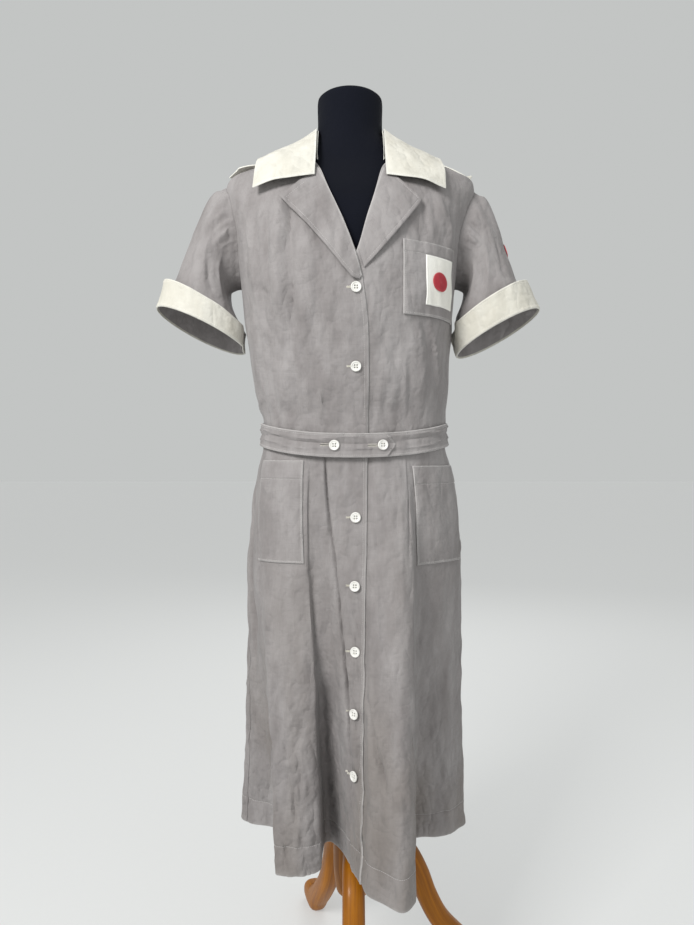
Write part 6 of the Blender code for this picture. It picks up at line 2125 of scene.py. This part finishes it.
        # The painted shadow: dark strips in the cut buttonholes and discs in the button holes.
        points, faces = [], []
        for strip in self.slits:
            start = sum(len(p) for p in points)
            count = strip.shape[1]
            points.append(strip.reshape(-1, 3))
            faces += [[k, k + 1, count + k + 1, count + k] for k in range(start, start + count - 1)]
        for dot in self.hole_shadows:
            start = sum(len(p) for p in points)
            points.append(dot)
            faces.append(list(range(start, start + len(dot))))
        made = mesh_object("buttonhole_slits", np.concatenate(points), faces)
        outward_faces(made.data)
        self.room.add(made, Look.SLIT, Slot.DRESS)

    def skirt_angle(self, height: float, x: float | Array = BUTTON_X) -> float | Array:
        """The waist angles of the lines that pass x at a height near the front edge."""
        angles = np.linspace(-16.0, OVERLAP_ANGLE, 200)
        top = waist_height(angles) - WAIST_GAP
        across = self.skirt.base(angles, (top - height) / (top - HEM))[..., 0]
        return np.interp(x, across, angles)


@dataclass
class DressForm:
    """The padded torso and neck in black jersey, one body with a flat base and a flat top."""

    room: Workroom
    form: Torso
    neck_x: float = -0.0048
    columns: int = 96
    rows: int = 120

    def build(self) -> None:
        """Makes the torso."""
        turns = np.arange(self.columns) * 360.0 / self.columns + 180.0
        rings = [self.form.cast(turns, np.full(turns.shape, climb)) for climb in FORM_CLIMBS]
        angle = np.radians(turns)
        for height, radius in NECK_RINGS:
            x, y = self.neck_x + radius * np.sin(angle), -radius * np.cos(angle)
            rings.append(np.stack([x, y, 0 * angle + height], axis=-1))
        made = tube("form_torso", resampled(np.array(rings), self.rows))
        self.room.add(made, Look.JERSEY, Slot.JERSEY, "form_body")


def resampled(rings: Array, rows: int) -> Array:
    """More rings on smooth curves through the given ones, evenly spaced, keeping the first and last."""
    steps = np.linalg.norm(np.diff(rings, axis=0), axis=-1).mean(axis=1)
    run = np.concatenate([[0.0], np.cumsum(steps)])
    at = np.unique(np.concatenate([np.linspace(0, run[-1], rows), run[-3:]]))
    count, columns, _ = rings.shape
    flat = rings.reshape(count, -1)
    paths = [curve(run, flat[:, k], at) for k in range(flat.shape[1])]
    return np.stack(paths, -1).reshape(len(at), columns, 3)


def tube(name: str, rings: Array) -> bpy.types.Object:
    """A closed solid through rings, with flat ends and metres round and along as its UV map."""
    rows, columns, _ = rings.shape
    faces = grid_quads(rows, columns, columns).tolist()
    looks = grid_quads(rows, columns, columns + 1).reshape(-1)
    faces += [list(range(columns)), list(range((rows - 1) * columns, rows * columns))]
    made = mesh_object(name, rings.reshape(-1, 3), faces)
    lengths = arc_lengths(np.concatenate([rings, rings[:, :1]], axis=1))
    metres = np.stack(lengths, -1).reshape(-1, 2)[looks]
    ends = np.concatenate([rings[0, :, :2], rings[-1, :, :2]])
    layer = made.data.uv_layers.new(name="cloth")
    layer.data.foreach_set("uv", np.concatenate([metres, ends]).reshape(-1).astype(np.float32))
    outward_faces(made.data, 55.0)
    return made


@dataclass
class Stand:
    """A turned hub and a steel pole under the torso, and three curved wooden legs."""

    room: Workroom
    angles: dict[str, float] = field(default_factory=lambda: {
        "leg_front": 270.0, "leg_right": 12.0, "leg_rear": 107.0})
    half_width: float = 0.0165
    pole_radius: float = 0.014

    def circle(self, radius: float, height: float, count: int = 64) -> Array:
        """A level ring of points about the form's axis."""
        turn = np.arange(count) * 2 * np.pi / count
        return np.stack([radius * np.cos(turn), radius * np.sin(turn), 0 * turn + height], axis=-1)

    def leg_rings(self, count: int = 90, corners: int = 28) -> Array:
        """Rounded square rings along the leg's middle line, flat where the foot stands."""
        table = np.array(LEG)
        at = np.linspace(0, len(LEG) - 1, count)
        reach, height, half = (curve(np.arange(len(LEG)), table[:, k], at) for k in range(3))
        step = len(LEG) / count
        slope_r, slope_z = np.gradient(reach) / step, np.gradient(height) / step
        turn = 2 * np.pi * (np.arange(corners) + 0.5) / corners
        wide = np.sign(np.cos(turn)) * np.abs(np.cos(turn)) ** 0.7
        high = np.sign(np.sin(turn)) * np.abs(np.sin(turn)) ** 0.7
        rings = []
        for k in range(count):
            along = unit(np.array([slope_r[k], 0.0, slope_z[k]])) if k else np.array([1.0, 0.0, 0.0])
            up = np.array([-along[2], 0.0, along[0]])
            ring = np.array([reach[k], 0.0, height[k]]) + high[:, None] * half[k] * up
            ring = ring + wide[:, None] * np.array([0.0, min(self.half_width, half[k]), 0.0])
            ring[:, 2] = np.maximum(ring[:, 2], 0.0)
            rings.append(ring)
        return np.array(rings)

    def build(self) -> None:
        """Makes the hub, the pole and the legs."""
        hub = np.array([self.circle(ring.radius, ring.height) for ring in HUB_RINGS])
        self.room.add(tube("hub_turned", resampled(hub, 60)), Look.WOOD, Slot.WOOD, "stand_hub")
        low, top = HUB_RINGS[-1].height + SEAM, FORM[0].height - SEAM
        pole = np.array([self.circle(self.pole_radius, height) for height in np.linspace(low, top, 12)])
        self.room.add(tube("pole_tube", pole), Look.STEEL, Slot.STEEL, "stand_pole")
        rings = self.leg_rings()
        for name, degrees in self.angles.items():
            cos, sin = math.cos(math.radians(degrees)), math.sin(math.radians(degrees))
            spin = np.array([[cos, sin, 0], [-sin, cos, 0], [0, 0, 1]])
            self.room.add(tube(f"{name}_curved", rings @ spin), Look.WOOD, Slot.WOOD, name)


@dataclass
class Studio:
    """A pale floor, soft lights and the camera at the photograph's angle."""

    room: Workroom
    camera_at: tuple[float, float, float] = (-0.0016, -1.0954, 0.85)
    lens: float = 26.85
    world: Colour = (0.545, 0.558, 0.551, 1)

    def light(self, name: str, place: tuple, aim: tuple, size: float, power: float, colour: tuple) -> None:
        """An area light.

        Args:
            name: Its name.
            place: Where it is.
            aim: Where it points.
            size: Its side.
            power: Its power in watts.
            colour: Its colour.
        """
        data = bpy.data.lights.new(name, "AREA")
        data.size, data.energy, data.color = size, power, colour
        made = bpy.data.objects.new(name, data)
        made.location = place
        made.rotation_euler = (Vector(aim) - Vector(place)).to_track_quat("-Z", "Y").to_euler()
        bpy.context.scene.collection.objects.link(made)

    def build(self) -> None:
        """Makes the floor, the lights, the surroundings and the camera."""
        reach = 30.0
        mesh = bpy.data.meshes.new("floor")
        mesh.from_pydata([(-reach, -reach, 0), (reach, -reach, 0), (reach, reach, 0), (-reach, reach, 0)], [],
                         [(0, 1, 2, 3)])
        floor = bpy.data.objects.new("floor", mesh)
        floor.location.z = -0.0002
        bpy.context.scene.collection.objects.link(floor)
        mesh.materials.append(self.room.material(Look.FLOOR))
        floor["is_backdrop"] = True
        world = bpy.data.worlds.new("studio")
        world.use_nodes = True
        world.node_tree.nodes["Background"].inputs["Color"].default_value = self.world
        world.node_tree.nodes["Background"].inputs["Strength"].default_value = 1.0
        bpy.context.scene.world = world
        bpy.context.scene.view_settings.view_transform = "Standard"
        self.light("key", (-1.40, -2.05, 2.45), (0.0, 0.0, 0.95), 0.9, 80.0, (1.0, 0.99, 0.98))
        self.light("fill", (2.0, -1.9, 1.6), (0.0, 0.0, 0.9), 1.8, 10.0, (0.97, 0.985, 1.0))
        self.light("back", (0.6, 2.4, 2.4), (0.0, 0.0, 0.9), 1.6, 26.0, (1.0, 1.0, 1.0))
        camera = bpy.data.cameras.new("photo_angle")
        camera.lens, camera.sensor_width = self.lens, 36.0
        made = bpy.data.objects.new("photo_angle", camera)
        made.location = self.camera_at
        made.rotation_euler = (math.radians(90.0), 0.0, 0.0)
        bpy.context.scene.collection.objects.link(made)
        bpy.context.scene.camera = made


def corners(box: tuple) -> list[list[float]]:
    """A box's two corners as plain lists."""
    return [[float(v) for v in corner] for corner in box]


def main() -> None:
    """Builds every sub-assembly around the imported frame."""
    logging.basicConfig(level=logging.INFO, format="%(name)s: %(message)s")
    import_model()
    solid_box = corners(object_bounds())
    room = Workroom()
    body, form = Torso(BODY), Torso(FORM)
    Studio(room).build()
    DressForm(room, form).build()
    Stand(room).build()
    bodice = Bodice(room, body)
    bodice.build()
    skirt = Skirt(room, body, form)
    skirt.build()
    belt = Belt(room)
    belt.build()
    Sleeve(room, bodice, "right", Side.RIGHT, SleeveRing(-0.2290, -0.012, 1.0900, 0.0620, 0.053, 32.0),
           SleeveRing(-0.2385, -0.014, 1.0555, 0.0730, 0.058, 24.5)).build()
    left = Sleeve(room, bodice, "left", Side.LEFT, SleeveRing(0.2085, -0.012, 1.0890, 0.0610, 0.053, 32.0),
                  SleeveRing(0.2280, -0.014, 1.0515, 0.0690, 0.058, 27.5))
    left.build()
    left.badge(bodice.disc_radius, 8.0, 0.62)
    Collar(room, bodice, form).build()
    Buttons(room, bodice, skirt, belt).build()
    {"solids": solid_box, "visual": corners(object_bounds())}


if __name__ == "__main__":
    main()
